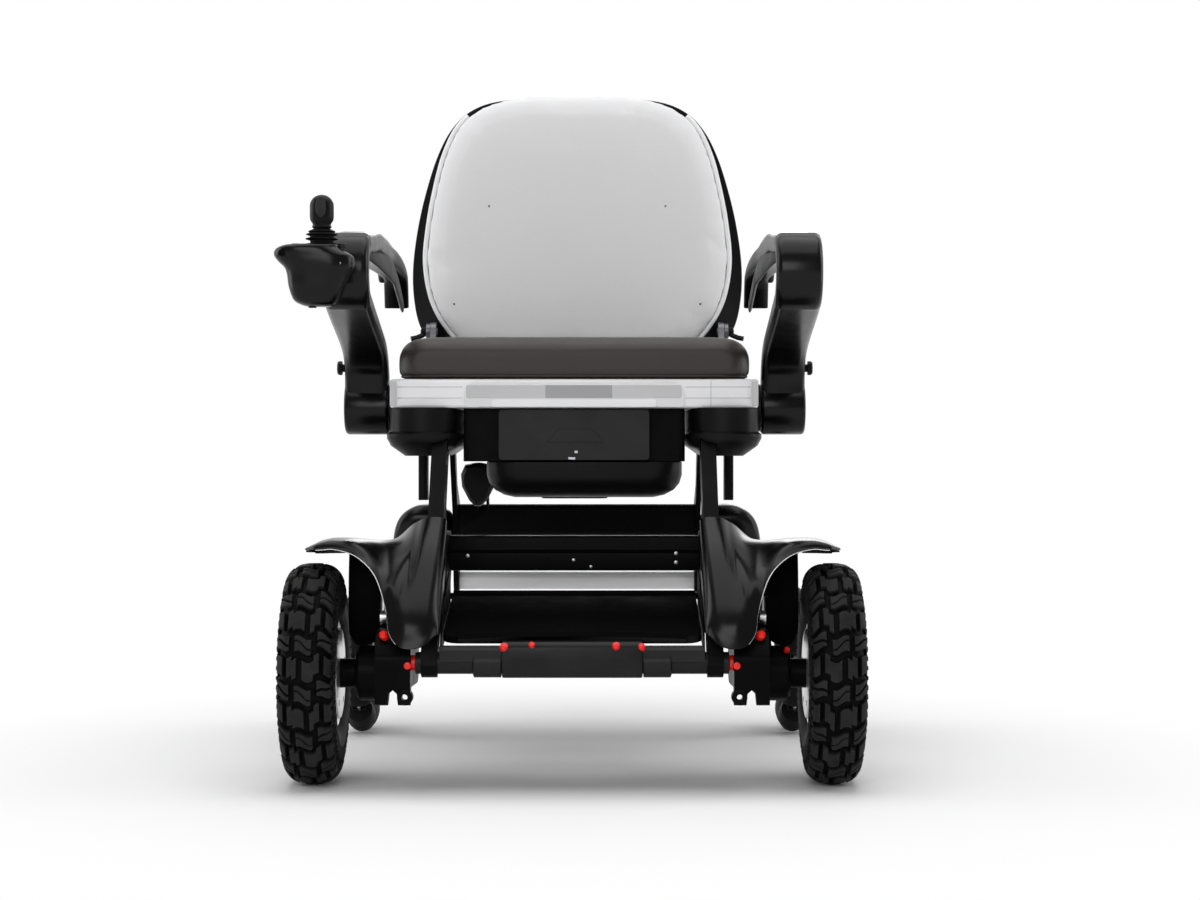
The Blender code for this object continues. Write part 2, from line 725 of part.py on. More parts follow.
def make_battery_box():
    """Open-fronted box for the battery drawer, and the rounded electronics pod under it."""
    box_front = SEAT_FRONT + BOX_STEP
    outline = plan_box(BOX_HALF_WIDTH, box_front, BOX_REAR, 0.008)
    box = finished("underseat_housing",
                   plate_mesh("underseat_housing", outline, TOP, POD_TOP + GAP, SEAT_BOTTOM - GAP),
                   "black_plastic", "root")
    low = (-BATTERY_BODY - SLIDING_FIT, behind(box_front) - 0.01, BATTERY_BOTTOM + BATTERY_LEDGE - SLIDING_FIT)
    high = (BATTERY_BODY + SLIDING_FIT, behind(box_front + BATTERY_LENGTH) + SLIDING_FIT,
            BATTERY_TOP - BATTERY_HEADROOM + SLIDING_FIT)
    cut(box, box_mesh("drawer_space", low, high))
    ear_x = ACTUATOR_X + MOTOR_HALF_WIDTH + 0.001
    ear = box_outline(behind(ACTUATOR_PIVOT[0]) - 0.009, ACTUATOR_PIVOT[1] - 0.009,
                      behind(ACTUATOR_PIVOT[0]) + 0.009, POD_TOP + 0.003, 0.004, 2)
    ear_plate = plate_mesh("ear", ear, SIDE, ear_x, ear_x + 0.004)
    ear_pin = side_bar("ear_pin", ACTUATOR_PIVOT, ear_x - 0.001 - ACTUATOR_PIN_DEPTH, ear_x + 0.002,
                       ACTUATOR_PIN, 12)
    join(box, ear_plate)
    join(box, ear_pin)

    levels = [(0.0, POD_TOP), (0.0, POD_TOP - 0.016), (0.003, POD_TOP - 0.026), (0.010, POD_TOP - 0.034),
              (0.021, POD_TOP - 0.040), (0.034, POD_BOTTOM)]
    rings = pod_rings(POD_CENTRE_X - POD_HALF_WIDTH, POD_CENTRE_X + POD_HALF_WIDTH, POD_FRONT, POD_REAR, 0.036,
                      levels, 3)
    pod = finished("control_pod", loft_mesh("control_pod", rings), "dark_plastic", "root")
    foot = plan_box(0.040, POD_FRONT + 0.05, POD_REAR - 0.05, 0.010)
    join(pod, plate_mesh("pod_foot", foot, TOP, POD_BOTTOM - 0.002, POD_BOTTOM + 0.004))


def make_battery():
    """Drawer: a face plate with an angular grip recess, and the body behind it."""
    face_front = SEAT_FRONT + BATTERY_FACE_STEP
    face = box_outline(-BATTERY_HALF_WIDTH, BATTERY_BOTTOM, BATTERY_HALF_WIDTH, BATTERY_TOP, 0.003, 2)
    pack = finished("battery_pack",
                    plate_mesh("battery_pack", face, FRONT, -behind(face_front + BATTERY_FACE), -behind(face_front)),
                    "dark_plastic", "battery")
    low = (-BATTERY_BODY, behind(face_front + BATTERY_FACE / 2), BATTERY_BOTTOM + BATTERY_LEDGE)
    high = (BATTERY_BODY, behind(SEAT_FRONT + BOX_STEP + BATTERY_LENGTH), BATTERY_TOP - BATTERY_HEADROOM)
    join(pack, box_mesh("battery_body", low, high))
    grip = rounded([(-0.034, BATTERY_BOTTOM + 0.020, 0.001), (0.036, BATTERY_BOTTOM + 0.020, 0.001),
                    (0.030, BATTERY_BOTTOM + 0.030, 0.001), (0.022, BATTERY_BOTTOM + 0.038, 0.001),
                    (-0.020, BATTERY_BOTTOM + 0.038, 0.001)], 1)
    cut(pack, plate_mesh("grip", grip, FRONT, -behind(face_front + 0.0012), -behind(face_front - 0.01)))
    latch = box_outline(-0.006, BATTERY_TOP - 0.009, 0.006, BATTERY_TOP - 0.004, 0.001, 1)
    join(pack, plate_mesh("latch", latch, FRONT, -behind(face_front + 0.002), -behind(face_front - 0.0015)))


def axle_matrix(place, x=0.0):
    """Stands a turned profile's own Z along X at a (depth, height) place."""
    return Matrix.Translation(across(place, x)) @ SIDE


def make_arm_hinges():
    """Flange beside the seat frame with the pin that an armrest turns on."""
    inner = SEAT_HALF_WIDTH + GAP
    outer = ARMREST_INNER - SLIDING_FIT
    profile = [(0, inner), (ARM_FLANGE_RADIUS, inner), (ARM_FLANGE_RADIUS, outer), (ARMREST_PIN, outer),
               (ARMREST_PIN, ARMREST_OUTER - 0.006), (0, ARMREST_OUTER - 0.006)]
    for side, s in SIDES:
        name = "arm_hinge_" + side
        profile_side = [(r, s * h) for r, h in profile]
        finished(name, turned_mesh(name, profile_side, axle_matrix(ARMREST_HINGE), 16), "dark_metal", "root")


def make_back_hinges():
    """Bright bracket behind each rear corner of the frame, up to the backrest's hinge."""
    foot = SEAT_REAR + GAP
    outline = rounded([(behind(foot), SEAT_BOTTOM + 0.004, 0.002), (behind(foot + 0.026), SEAT_BOTTOM + 0.004, 0.006),
                       (behind(BACK_HINGE[0] + 0.013), BACK_HINGE[1] - 0.02, 0.010),
                       (behind(BACK_HINGE[0] + 0.0122), BACK_HINGE[1] + 0.0125, 0.0115),
                       (behind(BACK_HINGE[0] - 0.0122), BACK_HINGE[1] + 0.0125, 0.0115),
                       (behind(BACK_HINGE[0] - 0.016), BACK_HINGE[1] - 0.035, 0.020)], 3)
    hole = disc_outline(behind(BACK_HINGE[0]), BACK_HINGE[1], BACK_PIN_RADIUS + SLIDING_FIT, 12)
    for side, s in SIDES:
        low, high = sorted((s * BACK_BRACKET_X, s * (BACK_BRACKET_X + BACK_BRACKET_THICKNESS)))
        name = "back_hinge_" + side
        finished(name, plate_mesh(name, outline, SIDE, low, high, [hole]), "silver_metal", "root")


def make_fold_actuator():
    """Teardrop motor under the seat with its tube, and the rod that pulls the rear frame in."""
    pivot, end = across(ACTUATOR_PIVOT, ACTUATOR_X), across(ACTUATOR_END, ACTUATOR_X)
    along = (end - pivot).normalized()
    drop = [(0.003, 0.0265), (0.016, 0.024), (MOTOR_HALF_WIDTH, 0.012), (0.020, -0.004),
            (0.011, -0.021), (0.004, -0.0285)]
    loop = [(x, z) for x, z in drop] + [(-x, z) for x, z in reversed(drop)]
    smooth = smooth_curve(loop, 1, closed=True)
    rings = []
    for y, share in ((-0.026, 0.80), (-0.022, 0.95), (-0.012, 1.0), (0.018, 1.0), (0.024, 0.93)):
        rings.append([pivot + Vector((share * p[0], y, share * p[1])) for p in smooth])
    motor = finished("fold_motor", loft_mesh("fold_motor", rings), "black_plastic", "actuator")
    tube_start = pivot + along * 0.010
    tube_end = pivot + along * ACTUATOR_TUBE_LENGTH
    join(motor, cylinder_mesh("actuator_tube", tube_start, tube_end, ACTUATOR_TUBE_RADIUS, 12))
    hole_end = ACTUATOR_X + MOTOR_HALF_WIDTH - ACTUATOR_PIN_DEPTH - SLIDING_FIT
    cut(motor, side_bar("pin_hole", ACTUATOR_PIVOT, hole_end, ACTUATOR_X + 0.03, ACTUATOR_PIN + SLIDING_FIT / 2, 12))
    bore_start = pivot + along * 0.030
    cut(motor, cylinder_mesh("rod_bore", bore_start, tube_end + along * 0.02, ACTUATOR_ROD_RADIUS + SLIDING_FIT, 12))

    rod = finished("fold_rod", cylinder_mesh("fold_rod", bore_start + along * 0.014, end, ACTUATOR_ROD_RADIUS, 12),
                   "silver_metal", "actuator_rod")
    join(rod, side_bar("rod_eye", ACTUATOR_END, ACTUATOR_X - 0.004, ACTUATOR_X + 0.004, 0.009, 12))
    cut(rod, side_bar("rod_eye_hole", ACTUATOR_END, ACTUATOR_X - 0.01, ACTUATOR_X + 0.01, EAR_PIN_RADIUS + 0.0012, 12))


def make_seat_group():
    make_seat_frame()
    make_seat_front_panel()
    make_seat_cushion()
    make_side_housings()
    make_battery_box()
    make_battery()
    make_arm_hinges()
    make_back_hinges()
    make_fold_actuator()


def make_front_legs():
    """Flat bars from the fold pivots to the pivot tube, each with a branch to the crossbeam and footplate."""
    top = Vector((behind(FRONT_PIVOT[0]), FRONT_PIVOT[1]))
    low = Vector((behind(PIVOT_TUBE_PLACE[0]), PIVOT_TUBE_PLACE[1]))
    beam = Vector((behind(CROSSBEAM_PLACE[0]), CROSSBEAM_PLACE[1]))
    hinge = Vector((behind(FOOTPLATE_HINGE[0]), FOOTPLATE_HINGE[1]))
    along, ahead = leg_directions()
    wide, narrow = LEG_HALF_DEPTH, LEG_END_RADIUS
    flange_x = beam.x + CROSSBEAM_DEPTH / 2 + 0.004
    flange_z = CROSSBEAM_HEIGHT / 2 + 0.005
    points = [(top + ahead * wide - along * wide, wide * 0.98),
              (top - ahead * wide - along * wide, wide * 0.98),
              (top - ahead * wide + along * 0.128, 0.020),
              (Vector((flange_x, beam.y + flange_z)), 0.005),
              (Vector((flange_x, beam.y - flange_z)), 0.008),
              (hinge + Vector((0.015, -0.0125)), 0.012),
              (hinge + Vector((-0.015, -0.0125)), 0.012),
              (low - ahead * narrow - along * 0.060, 0.020),
              (low - ahead * narrow + along * narrow, narrow * 0.98),
              (low + ahead * narrow + along * narrow, narrow * 0.98)]
    outline = rounded([(point.x, point.y, radius) for point, radius in points], 2)
    holes = [disc_outline(top.x, top.y, FOLD_PIN_RADIUS + SLIDING_FIT, 12),
             disc_outline(low.x, low.y, PIVOT_TUBE_RADIUS + 2 * GAP, 16),
             disc_outline(hinge.x, hinge.y, HINGE_PIN_RADIUS + GAP, 12)]
    for side, s in SIDES:
        name = "front_leg_" + side
        centre = s * LEG_CENTRE
        mesh = plate_mesh(name, outline, SIDE, centre - LEG_THICKNESS / 2, centre + LEG_THICKNESS / 2, holes)
        leg = finished(name, mesh, "dark_metal", "front_frame")
        ends = sorted((s * (LEG_CENTRE + LEG_THICKNESS / 2 - 0.004), s * (SHOCK_X + SHOCK_RADIUS)))
        join(leg, side_bar("shock_post", SHOCK_HIGH, ends[0], ends[1], SHOCK_PIN_RADIUS, 12))


def make_pivot_tube():
    """Tube across the front that the swing arms turn on, with its collars, sleeve and red bushings."""
    step = SLEEVE_HALF + 0.0010
    half = [(COLLAR_RADIUS, step), (COLLAR_RADIUS, COLLAR_END), (PIVOT_TUBE_RADIUS, COLLAR_END + 0.0015),
            (PIVOT_TUBE_RADIUS, PIVOT_TUBE_HALF), (STUB_RADIUS, PIVOT_TUBE_HALF), (STUB_RADIUS, ARM_OUTER - 0.010),
            (0, ARM_OUTER - 0.010)]
    profile = [(r, -x) for r, x in reversed(half)] + [(PIVOT_TUBE_RADIUS, -step), (PIVOT_TUBE_RADIUS, step)] + half
    finished("pivot_tube", turned_mesh("pivot_tube", profile, axle_matrix(PIVOT_TUBE_PLACE), 14),
             "dark_plastic", "front_frame")

    bore = PIVOT_TUBE_RADIUS + GAP
    sleeve = [(bore, -SLEEVE_HALF), (SLEEVE_RADIUS - 0.0015, -SLEEVE_HALF), (SLEEVE_RADIUS, -SLEEVE_HALF + 0.0015),
              (SLEEVE_RADIUS, SLEEVE_HALF - 0.0015), (SLEEVE_RADIUS - 0.0015, SLEEVE_HALF), (bore, SLEEVE_HALF),
              (bore, -SLEEVE_HALF)]
    finished("bumper_sleeve", turned_mesh("bumper_sleeve", sleeve, axle_matrix(PIVOT_TUBE_PLACE), 16),
             "dark_plastic", "front_frame")

    inner, outer = PIVOT_TUBE_HALF + GAP, ARM_INNER - GAP
    for side, s in SIDES:
        ring = [(STUB_RADIUS + GAP, s * inner), (BUSHING_RADIUS, s * inner), (BUSHING_RADIUS, s * outer),
                (STUB_RADIUS + GAP, s * outer), (STUB_RADIUS + GAP, s * inner)]
        name = "pivot_bushing_" + side
        finished(name, turned_mesh(name, ring, axle_matrix(PIVOT_TUBE_PLACE), 12), "red_plastic", "front_frame")


def make_crossbeam():
    """Bar between the branches of the front legs, with a stepped front face."""
    y, z = behind(CROSSBEAM_PLACE[0]), CROSSBEAM_PLACE[1]
    deep, high = CROSSBEAM_DEPTH / 2, CROSSBEAM_HEIGHT / 2
    outline = rounded([(y - deep, z - high, 0.003), (y + deep, z - high, 0.004), (y + deep, z + high, 0.004),
                       (y - deep + 0.007, z + high, 0.004), (y - deep + 0.007, z + 0.004, 0.002),
                       (y - deep, z, 0.002)], 3)
    half = LEG_CENTRE - LEG_THICKNESS / 2 - GAP
    finished("front_crossbeam", plate_mesh("front_crossbeam", outline, SIDE, -half, half), "black_plastic",
             "front_frame")


# Shroud of one side in columns from the fender's outer edge to the wall beside the leg.
# A column has four points (x, depth, height), from the front rim to the rear edge.
SHROUD_COLUMNS = (
    ((0.3020, -0.048, 0.2715), (0.3020, -0.015, 0.2790), (0.3020, 0.030, 0.2770), (0.3020, 0.075, 0.2580)),
    ((0.2700, -0.052, 0.2725), (0.2700, -0.015, 0.2810), (0.2700, 0.030, 0.2790), (0.2700, 0.075, 0.2600)),
    ((0.2450, -0.060, 0.2640), (0.2410, -0.020, 0.2790), (0.2390, 0.030, 0.2785), (0.2370, 0.075, 0.2620)),
    ((0.2225, -0.074, 0.2430), (0.2180, -0.050, 0.2560), (0.2120, 0.000, 0.2770), (0.2080, 0.055, 0.2790)),
    ((0.2085, -0.091, 0.2000), (0.1990, -0.080, 0.2290), (0.1910, -0.030, 0.2700), (0.1870, 0.022, 0.2960)),
    ((0.1830, -0.110, 0.1600), (0.1800, -0.100, 0.2000), (0.1730, -0.050, 0.2620), (0.1700, 0.003, 0.3050)),
    ((0.1580, -0.109, 0.1680), (0.1550, -0.088, 0.2050), (0.1540, -0.046, 0.2600), (0.1540, 0.002, 0.3060)),
    ((0.1480, -0.098, 0.1790), (0.1480, -0.072, 0.2060), (0.1480, -0.030, 0.2600), (0.1480, 0.010, 0.3020)),
    ((0.1480, -0.082, 0.1800), (0.1480, -0.052, 0.2080), (0.1480, -0.012, 0.2570), (0.1480, 0.024, 0.2960)),
)


def leg_directions():
    """Unit (depth, height) vectors down the front leg and square out of its front face."""
    along = (Vector(PIVOT_TUBE_PLACE) - Vector(FRONT_PIVOT)).normalized()
    return along, Vector((along.y, -along.x))


def make_fender_shrouds():
    """One moulding a side: a fender over the tyre that runs down into a cover bolted to the leg."""
    along, ahead = leg_directions()
    bolt = Vector(SHROUD_BOLT)
    reach = bolt - Vector(FRONT_PIVOT)
    length = (Vector(PIVOT_TUBE_PLACE) - Vector(FRONT_PIVOT)).length
    taper = (reach.dot(along) + LEG_HALF_DEPTH) / (length + LEG_HALF_DEPTH + LEG_END_RADIUS)
    half_depth = LEG_HALF_DEPTH + (LEG_END_RADIUS - LEG_HALF_DEPTH) * taper
    to_leg = reach.dot(ahead) - half_depth - GAP
    grid_steps = 2
    columns = [smooth_curve(column, grid_steps) for column in SHROUD_COLUMNS]
    rows = [smooth_curve([column[i] for column in columns], grid_steps) for i in range(len(columns[0]))]
    for side, s in SIDES:
        bm = bmesh.new()
        verts = [[bm.verts.new((s * x, behind(depth), height)) for x, depth, height in row] for row in rows]
        for first, second in zip(verts, verts[1:]):
            for i in range(len(first) - 1):
                bm.faces.new((first[i], first[i + 1], second[i + 1], second[i]))
        name = "fender_shroud_" + side
        cover = finished(name, mesh_of(bm, name), "black_plastic", "front_frame")
        wall = cover.modifiers.new("wall", "SOLIDIFY")
        wall.thickness = SHROUD_WALL
        wall.offset = 0
        x = s * (LEG_CENTRE + 0.0025)
        join(cover, cylinder_mesh("bolt_boss", across(bolt - ahead * to_leg, x), across(bolt + ahead * BOLT_HEAD, x),
                                  BOLT_RADIUS, 10))


def make_footplate():
    """Flap that slopes forward from its hinge, with a rolled front lip and grip ribs."""
    hinge = across(FOOTPLATE_HINGE, 0)
    tilt = Matrix.Translation(hinge) @ Matrix.Rotation(FOOTPLATE_SLOPE, 4, "X")
    half = FOOTPLATE_HALF_WIDTH
    outline = rounded([(-half, -FOOTPLATE_LENGTH, 0.018), (half, -FOOTPLATE_LENGTH, 0.018),
                       (half, -0.003, 0.002), (-half, -0.003, 0.002)], 4)
    plate = finished("footplate",
                     plate_mesh("footplate", outline, tilt, -FOOTPLATE_THICKNESS / 2, FOOTPLATE_THICKNESS / 2),
                     "black_plastic", "footplate")
    reach = LEG_CENTRE + 0.004
    join(plate, side_bar("hinge_barrel", FOOTPLATE_HINGE, -half + 0.0005, half - 0.0005, 0.0070, 12))
    join(plate, side_bar("hinge_pin", FOOTPLATE_HINGE, -reach, reach, HINGE_PIN_RADIUS, 12))
    lip_points = []
    for step in range(7):
        share = step / 3 - 1
        local = Vector((share * (half - 0.018), -FOOTPLATE_LENGTH + 0.003, 0.001 + 0.003 * (1 - share * share)))
        lip_points.append(tilt @ local)
    join(plate, tube_mesh("lip", lip_points, 0.0062, 1))


def make_swing_arms():
    """Casting that holds a drive wheel's brake motor and turns on the pivot tube."""
    front = PIVOT_TUBE_PLACE[0] - 0.0155
    ear_top = ARM_BOTTOM + 0.0190
    outline = rounded([(behind(front), ARM_BOTTOM, 0.005), (behind(front + 0.014), ARM_BOTTOM, 0.005),
                       (behind(front + 0.018), ear_top, 0.004), (behind(0.016), ear_top - 0.004, 0.020),
                       (behind(0.038), 0.122, 0.018), (behind(0.038), 0.152, 0.018), (behind(0.016), ARM_TOP, 0.018),
                       (behind(-0.080), ARM_TOP, 0.012), (behind(front), 0.153, 0.010)], 2)
    hole = disc_outline(behind(PIVOT_TUBE_PLACE[0]), PIVOT_TUBE_PLACE[1], STUB_RADIUS + GAP, 16)
    for side, s in SIDES:
        name = "swing_arm_" + side
        low, high = sorted((s * ARM_INNER, s * ARM_OUTER))
        arm = finished(name, plate_mesh(name, outline, SIDE, low, high), "dark_metal", name)
        bevel(arm, 0.004, 1, 60)
        low, high = sorted((s * (ARM_INNER - 0.010), s * (ARM_OUTER - 0.009)))
        cut(arm, plate_mesh("bore", hole, SIDE, low, high))
        notch_x, notch_top = ARM_INNER + 0.0195, ARM_BOTTOM + 0.0172
        notch = [(s * (notch_x + x), z) for x, z in ((0.0065, ARM_BOTTOM - 0.01), (0.0045, notch_top - 0.004),
                                                     (0, notch_top), (-0.0045, notch_top - 0.004),
                                                     (-0.0065, ARM_BOTTOM - 0.01))]
        cut(arm, plate_mesh("notch", notch if s > 0 else notch[::-1], FRONT, -behind(front + 0.030),
                            -behind(front - 0.01)))
        ear_hole = disc_outline(s * (ARM_INNER + 0.0065), ARM_BOTTOM + 0.0092, 0.0035, 12)
        cut(arm, plate_mesh("ear_hole", ear_hole, FRONT, -behind(front + 0.022), -behind(front - 0.01)))

        lug = rounded([(behind(SHOCK_LOW[0] - 0.016), ARM_TOP - 0.006, 0),
                       (behind(SHOCK_LOW[0] + 0.016), ARM_TOP - 0.006, 0),
                       (behind(SHOCK_LOW[0] + 0.007), SHOCK_LOW[1] + 0.007, 0.0065),
                       (behind(SHOCK_LOW[0] - 0.007), SHOCK_LOW[1] + 0.007, 0.0065)], 3)
        lug_low, lug_high = sorted((s * (SHOCK_X - SHOCK_EYE_HALF - 0.005), s * (SHOCK_X - SHOCK_EYE_HALF - GAP)))
        join(arm, plate_mesh("lug", lug, SIDE, lug_low, lug_high))
        pin_low, pin_high = sorted((s * (SHOCK_X - SHOCK_EYE_HALF - 0.003), s * (SHOCK_X + SHOCK_EYE_HALF)))
        join(arm, side_bar("lug_pin", SHOCK_LOW, pin_low, pin_high, SHOCK_PIN_RADIUS - 0.001, 12))


def make_drive_motors():
    """Round motor and parking brake between a swing arm and its wheel, with the axle."""
    inner = ARM_OUTER + GAP
    hub = MOTOR_OUTER
    profile = [(0, inner), (MOTOR_RADIUS - 0.002, inner), (MOTOR_RADIUS, inner + 0.002), (MOTOR_RADIUS, hub - 0.004),
               (MOTOR_RADIUS - 0.004, hub), (0.017, hub), (0.017, RIM_INNER_FACE - 0.0005),
               (AXLE_RADIUS, RIM_INNER_FACE - 0.0005), (AXLE_RADIUS, FRONT_TRACK / 2 + 0.012),
               (0, FRONT_TRACK / 2 + 0.012)]
    for side, s in SIDES:
        name = "drive_motor_" + side
        mesh = turned_mesh(name, [(r, s * x) for r, x in profile], axle_matrix((0, TYRE_RADIUS)), 14)
        finished(name, mesh, "dark_metal", "swing_arm_" + side)


def make_shocks():
    """Shock absorber of each swing arm: a body hung on the leg's post and a rod down to the arm."""
    high, low = across(SHOCK_HIGH, 0), across(SHOCK_LOW, 0)
    down = (low - high).normalized()
    for side, s in SIDES:
        shift = Vector((s * SHOCK_X, 0, 0))
        name = "shock_body_" + side
        start, end = high + shift + down * 0.004, high + shift + down * SHOCK_BODY_LENGTH
        tube = finished(name, cylinder_mesh(name, start, end, SHOCK_RADIUS, 12), "dark_metal",
                        "shock_" + side)
        eye_low, eye_high = s * SHOCK_X - SHOCK_EYE_HALF, s * SHOCK_X + SHOCK_EYE_HALF
        join(tube, side_bar("eye", SHOCK_HIGH, eye_low, eye_high, SHOCK_PIN_RADIUS + 0.0035, 12))
        cut(tube, side_bar("eye_bore", SHOCK_HIGH, eye_low - 0.01, eye_high + 0.01, SHOCK_PIN_RADIUS + SLIDING_FIT, 12))
        cut(tube, cylinder_mesh("rod_bore", high + shift + down * 0.0145, end + down * 0.01,
                                SHOCK_ROD_RADIUS + SLIDING_FIT / 2, 12))
        name = "shock_rod_" + side
        rod = finished(name, cylinder_mesh(name, high + shift + down * SHOCK_ROD_TOP, low + shift,
                                           SHOCK_ROD_RADIUS, 12), "silver_metal", "shock_rod_" + side)
        join(rod, side_bar("rod_eye", SHOCK_LOW, eye_low + 0.001, eye_high - 0.001, SHOCK_PIN_RADIUS + 0.0030, 12))
        cut(rod, side_bar("rod_eye_bore", SHOCK_LOW, eye_low - 0.01, eye_high + 0.01, SHOCK_PIN_RADIUS, 12))


def make_front_frame():
    make_front_legs()
    make_pivot_tube()
    make_crossbeam()
    make_fender_shrouds()
    make_footplate()
    make_swing_arms()
    make_drive_motors()
    make_shocks()


# Half of the tyre's outline as (distance from the middle plane, radius), from the middle out
TREAD_LINE = ((0.0000, 0.1220), (0.0085, 0.1218), (0.0108, 0.1215), (0.0215, 0.1175), (0.0295, 0.1085),
              (0.0325, 0.0960))
SIDEWALL_LINE = ((0.0345, 0.0800), (0.0250, RIM_RADIUS + BEAD_FIT))


def make_front_tyre(name, s):
    """Tyre whose tread repeats a middle block and two swept shoulder lugs round the carcass."""
    half = TREAD_LINE + SIDEWALL_LINE
    section = [(-u, r) for u, r in reversed(half[1:])] + list(half[1:])
    bm = bmesh.new()
    centre = across((0, TYRE_RADIUS), s * FRONT_TRACK / 2)
    pitch = math.tau / TREAD_PITCHES
    rings = []
    for row in range(2 * TREAD_PITCHES):
        start = (row // 2) * pitch + (row % 2) * pitch * TREAD_LUG_SHARE
        ring = []
        for u, r in section:
            swept = max(0.0, min(abs(u), 0.0325) - 0.0108) if r > 0.09 else 0.0217
            angle = start + swept * TREAD_SWEEP
            ring.append(bm.verts.new(centre + Vector((u, r * math.sin(angle), r * math.cos(angle)))))
        rings.append(ring)
    count = len(section)
    lugs = []
    for row, ring in enumerate(rings):
        after = rings[(row + 1) % len(rings)]
        faces = [bm.faces.new((ring[i], ring[(i + 1) % count], after[(i + 1) % count], after[i]))
                 for i in range(count)]
        if row % 2 == 0:
            lugs += [[faces[i] for i in columns if i < count] for columns in LUG_COLUMNS]
    bmesh.ops.recalc_face_normals(bm, faces=bm.faces)
    for faces in lugs:
        raised = bmesh.ops.extrude_face_region(bm, geom=faces)
        for vert in (part for part in raised["geom"] if isinstance(part, bmesh.types.BMVert)):
            away = vert.co - centre
            away.x *= 0.9
            vert.co += away.normalized() * TREAD_DEPTH
        bmesh.ops.delete(bm, geom=faces, context="FACES")
    finished(name, mesh_of(bm, name), "tyre_rubber", name.replace("front_tyre", "front_wheel"))


# Columns of the section that one lug covers: outer shoulder, middle block, inner shoulder
LUG_COLUMNS = ((2, 3, 4), (6,), (8, 9, 10))


def make_front_wheels():
    """Tyre and dished rim of each drive wheel, on the axle of its motor."""
    bead = 0.0250
    middle = FRONT_TRACK / 2
    face = middle - RIM_INNER_FACE
    profile = [(AXLE_RADIUS + GAP, -face), (RIM_FACE_RADIUS, -face), (RIM_FACE_RADIUS, -bead - 0.003),
               (RIM_RADIUS, -bead), (RIM_RADIUS, bead), (RIM_FACE_RADIUS + 0.001, bead + 0.003),
               (RIM_FACE_RADIUS - 0.006, 0.020), (0.030, 0.014), (0.026, 0.024),
               (0.020, 0.027), (0, 0.027), (0, 0.0135), (AXLE_RADIUS + GAP, 0.0135), (AXLE_RADIUS + GAP, -face)]
    for side, s in SIDES:
        make_front_tyre("front_tyre_" + side, s)
        name = "front_rim_" + side
        turned = [(r, s * x) for r, x in profile]
        mesh = turned_mesh(name, turned, axle_matrix((0, TYRE_RADIUS), s * middle), 16)
        finished(name, mesh, "silver_metal", "front_wheel_" + side)


def make_rear_legs():
    """Plates from the rear fold pivots down past the crossbar to the cross tube."""
    top = Vector((behind(REAR_PIVOT[0]), REAR_PIVOT[1]))
    tube = Vector((behind(CROSS_TUBE_PLACE[0]), CROSS_TUBE_PLACE[1]))
    bar = Vector((behind(CROSSBAR_PLACE[0]), CROSSBAR_PLACE[1]))
    along = Vector((math.sin(REAR_LEAN), -math.cos(REAR_LEAN)))
    aside = Vector((-along.y, along.x))
    h = REAR_LEG_HALF_DEPTH
    points = [(top - aside * h - along * h, h * 0.97), (top + aside * h - along * h, h * 0.97),
              (top + aside * h + along * 0.080, 0.015), (bar + Vector((0.026, 0.022)), 0.010),
              (bar + Vector((0.030, -0.030)), 0.020), (tube + Vector((0.017, -0.017)), 0.015),
              (tube + Vector((-0.017, -0.017)), 0.015), (bar + Vector((-0.026, -0.022)), 0.020),
              (bar + Vector((-0.028, 0.008)), 0.015)]
    outline = rounded([(point.x, point.y, radius) for point, radius in points], 2)
    holes = [disc_outline(top.x, top.y, FOLD_PIN_RADIUS + SLIDING_FIT, 12)]
    for side, s in SIDES:
        name = "rear_leg_" + side
        low = s * REAR_LEG_CENTRE - REAR_LEG_THICKNESS / 2
        mesh = plate_mesh(name, outline, SIDE, low, low + REAR_LEG_THICKNESS, holes)
        finished(name, mesh, "dark_metal", "rear_frame")


def make_crossbar():
    """Bar between the rear legs with the ears that the fold rod pulls on, and the bright tube below."""
    y, z = behind(CROSSBAR_PLACE[0]), CROSSBAR_PLACE[1]
    deep, high = CROSSBAR_DEPTH / 2, CROSSBAR_HEIGHT / 2
    half = REAR_LEG_CENTRE - REAR_LEG_THICKNESS / 2 - GAP
    outline = rounded([(y - deep, z - high + 0.004, 0.003), (y - deep + 0.006, z - high, 0.003),
                       (y + deep, z - high, 0.008), (y + deep, z + high, 0.010), (y - deep, z + high, 0.006)], 3)
    bar = finished("rear_crossbar", plate_mesh("rear_crossbar", outline, SIDE, -half, half), "black_plastic",
                   "rear_frame")
    ear_y, ear_z = behind(ACTUATOR_END[0]), ACTUATOR_END[1]
    ear = rounded([(ear_y - 0.008, ear_z + 0.008, 0.007), (ear_y - 0.008, z + high - 0.010, 0.002),
                   (ear_y + 0.024, z + high - 0.010, 0.002), (ear_y + 0.008, ear_z + 0.008, 0.007)], 3)
    ears = []
    for inner in (-EAR_GAP - EAR_THICKNESS, EAR_GAP):
        ears.append(plate_mesh("ear", ear, SIDE, ACTUATOR_X + inner, ACTUATOR_X + inner + EAR_THICKNESS))
    join(bar, joined_mesh("ears", ears))
    reach = EAR_GAP + EAR_THICKNESS / 2
    join(bar, side_bar("ear_pin", ACTUATOR_END, ACTUATOR_X - reach, ACTUATOR_X + reach, EAR_PIN_RADIUS, 12))

    tube = side_bar("rear_cross_tube", CROSS_TUBE_PLACE, -half, half, CROSS_TUBE_RADIUS, 20)
    finished("rear_cross_tube", tube, "silver_metal", "rear_frame")


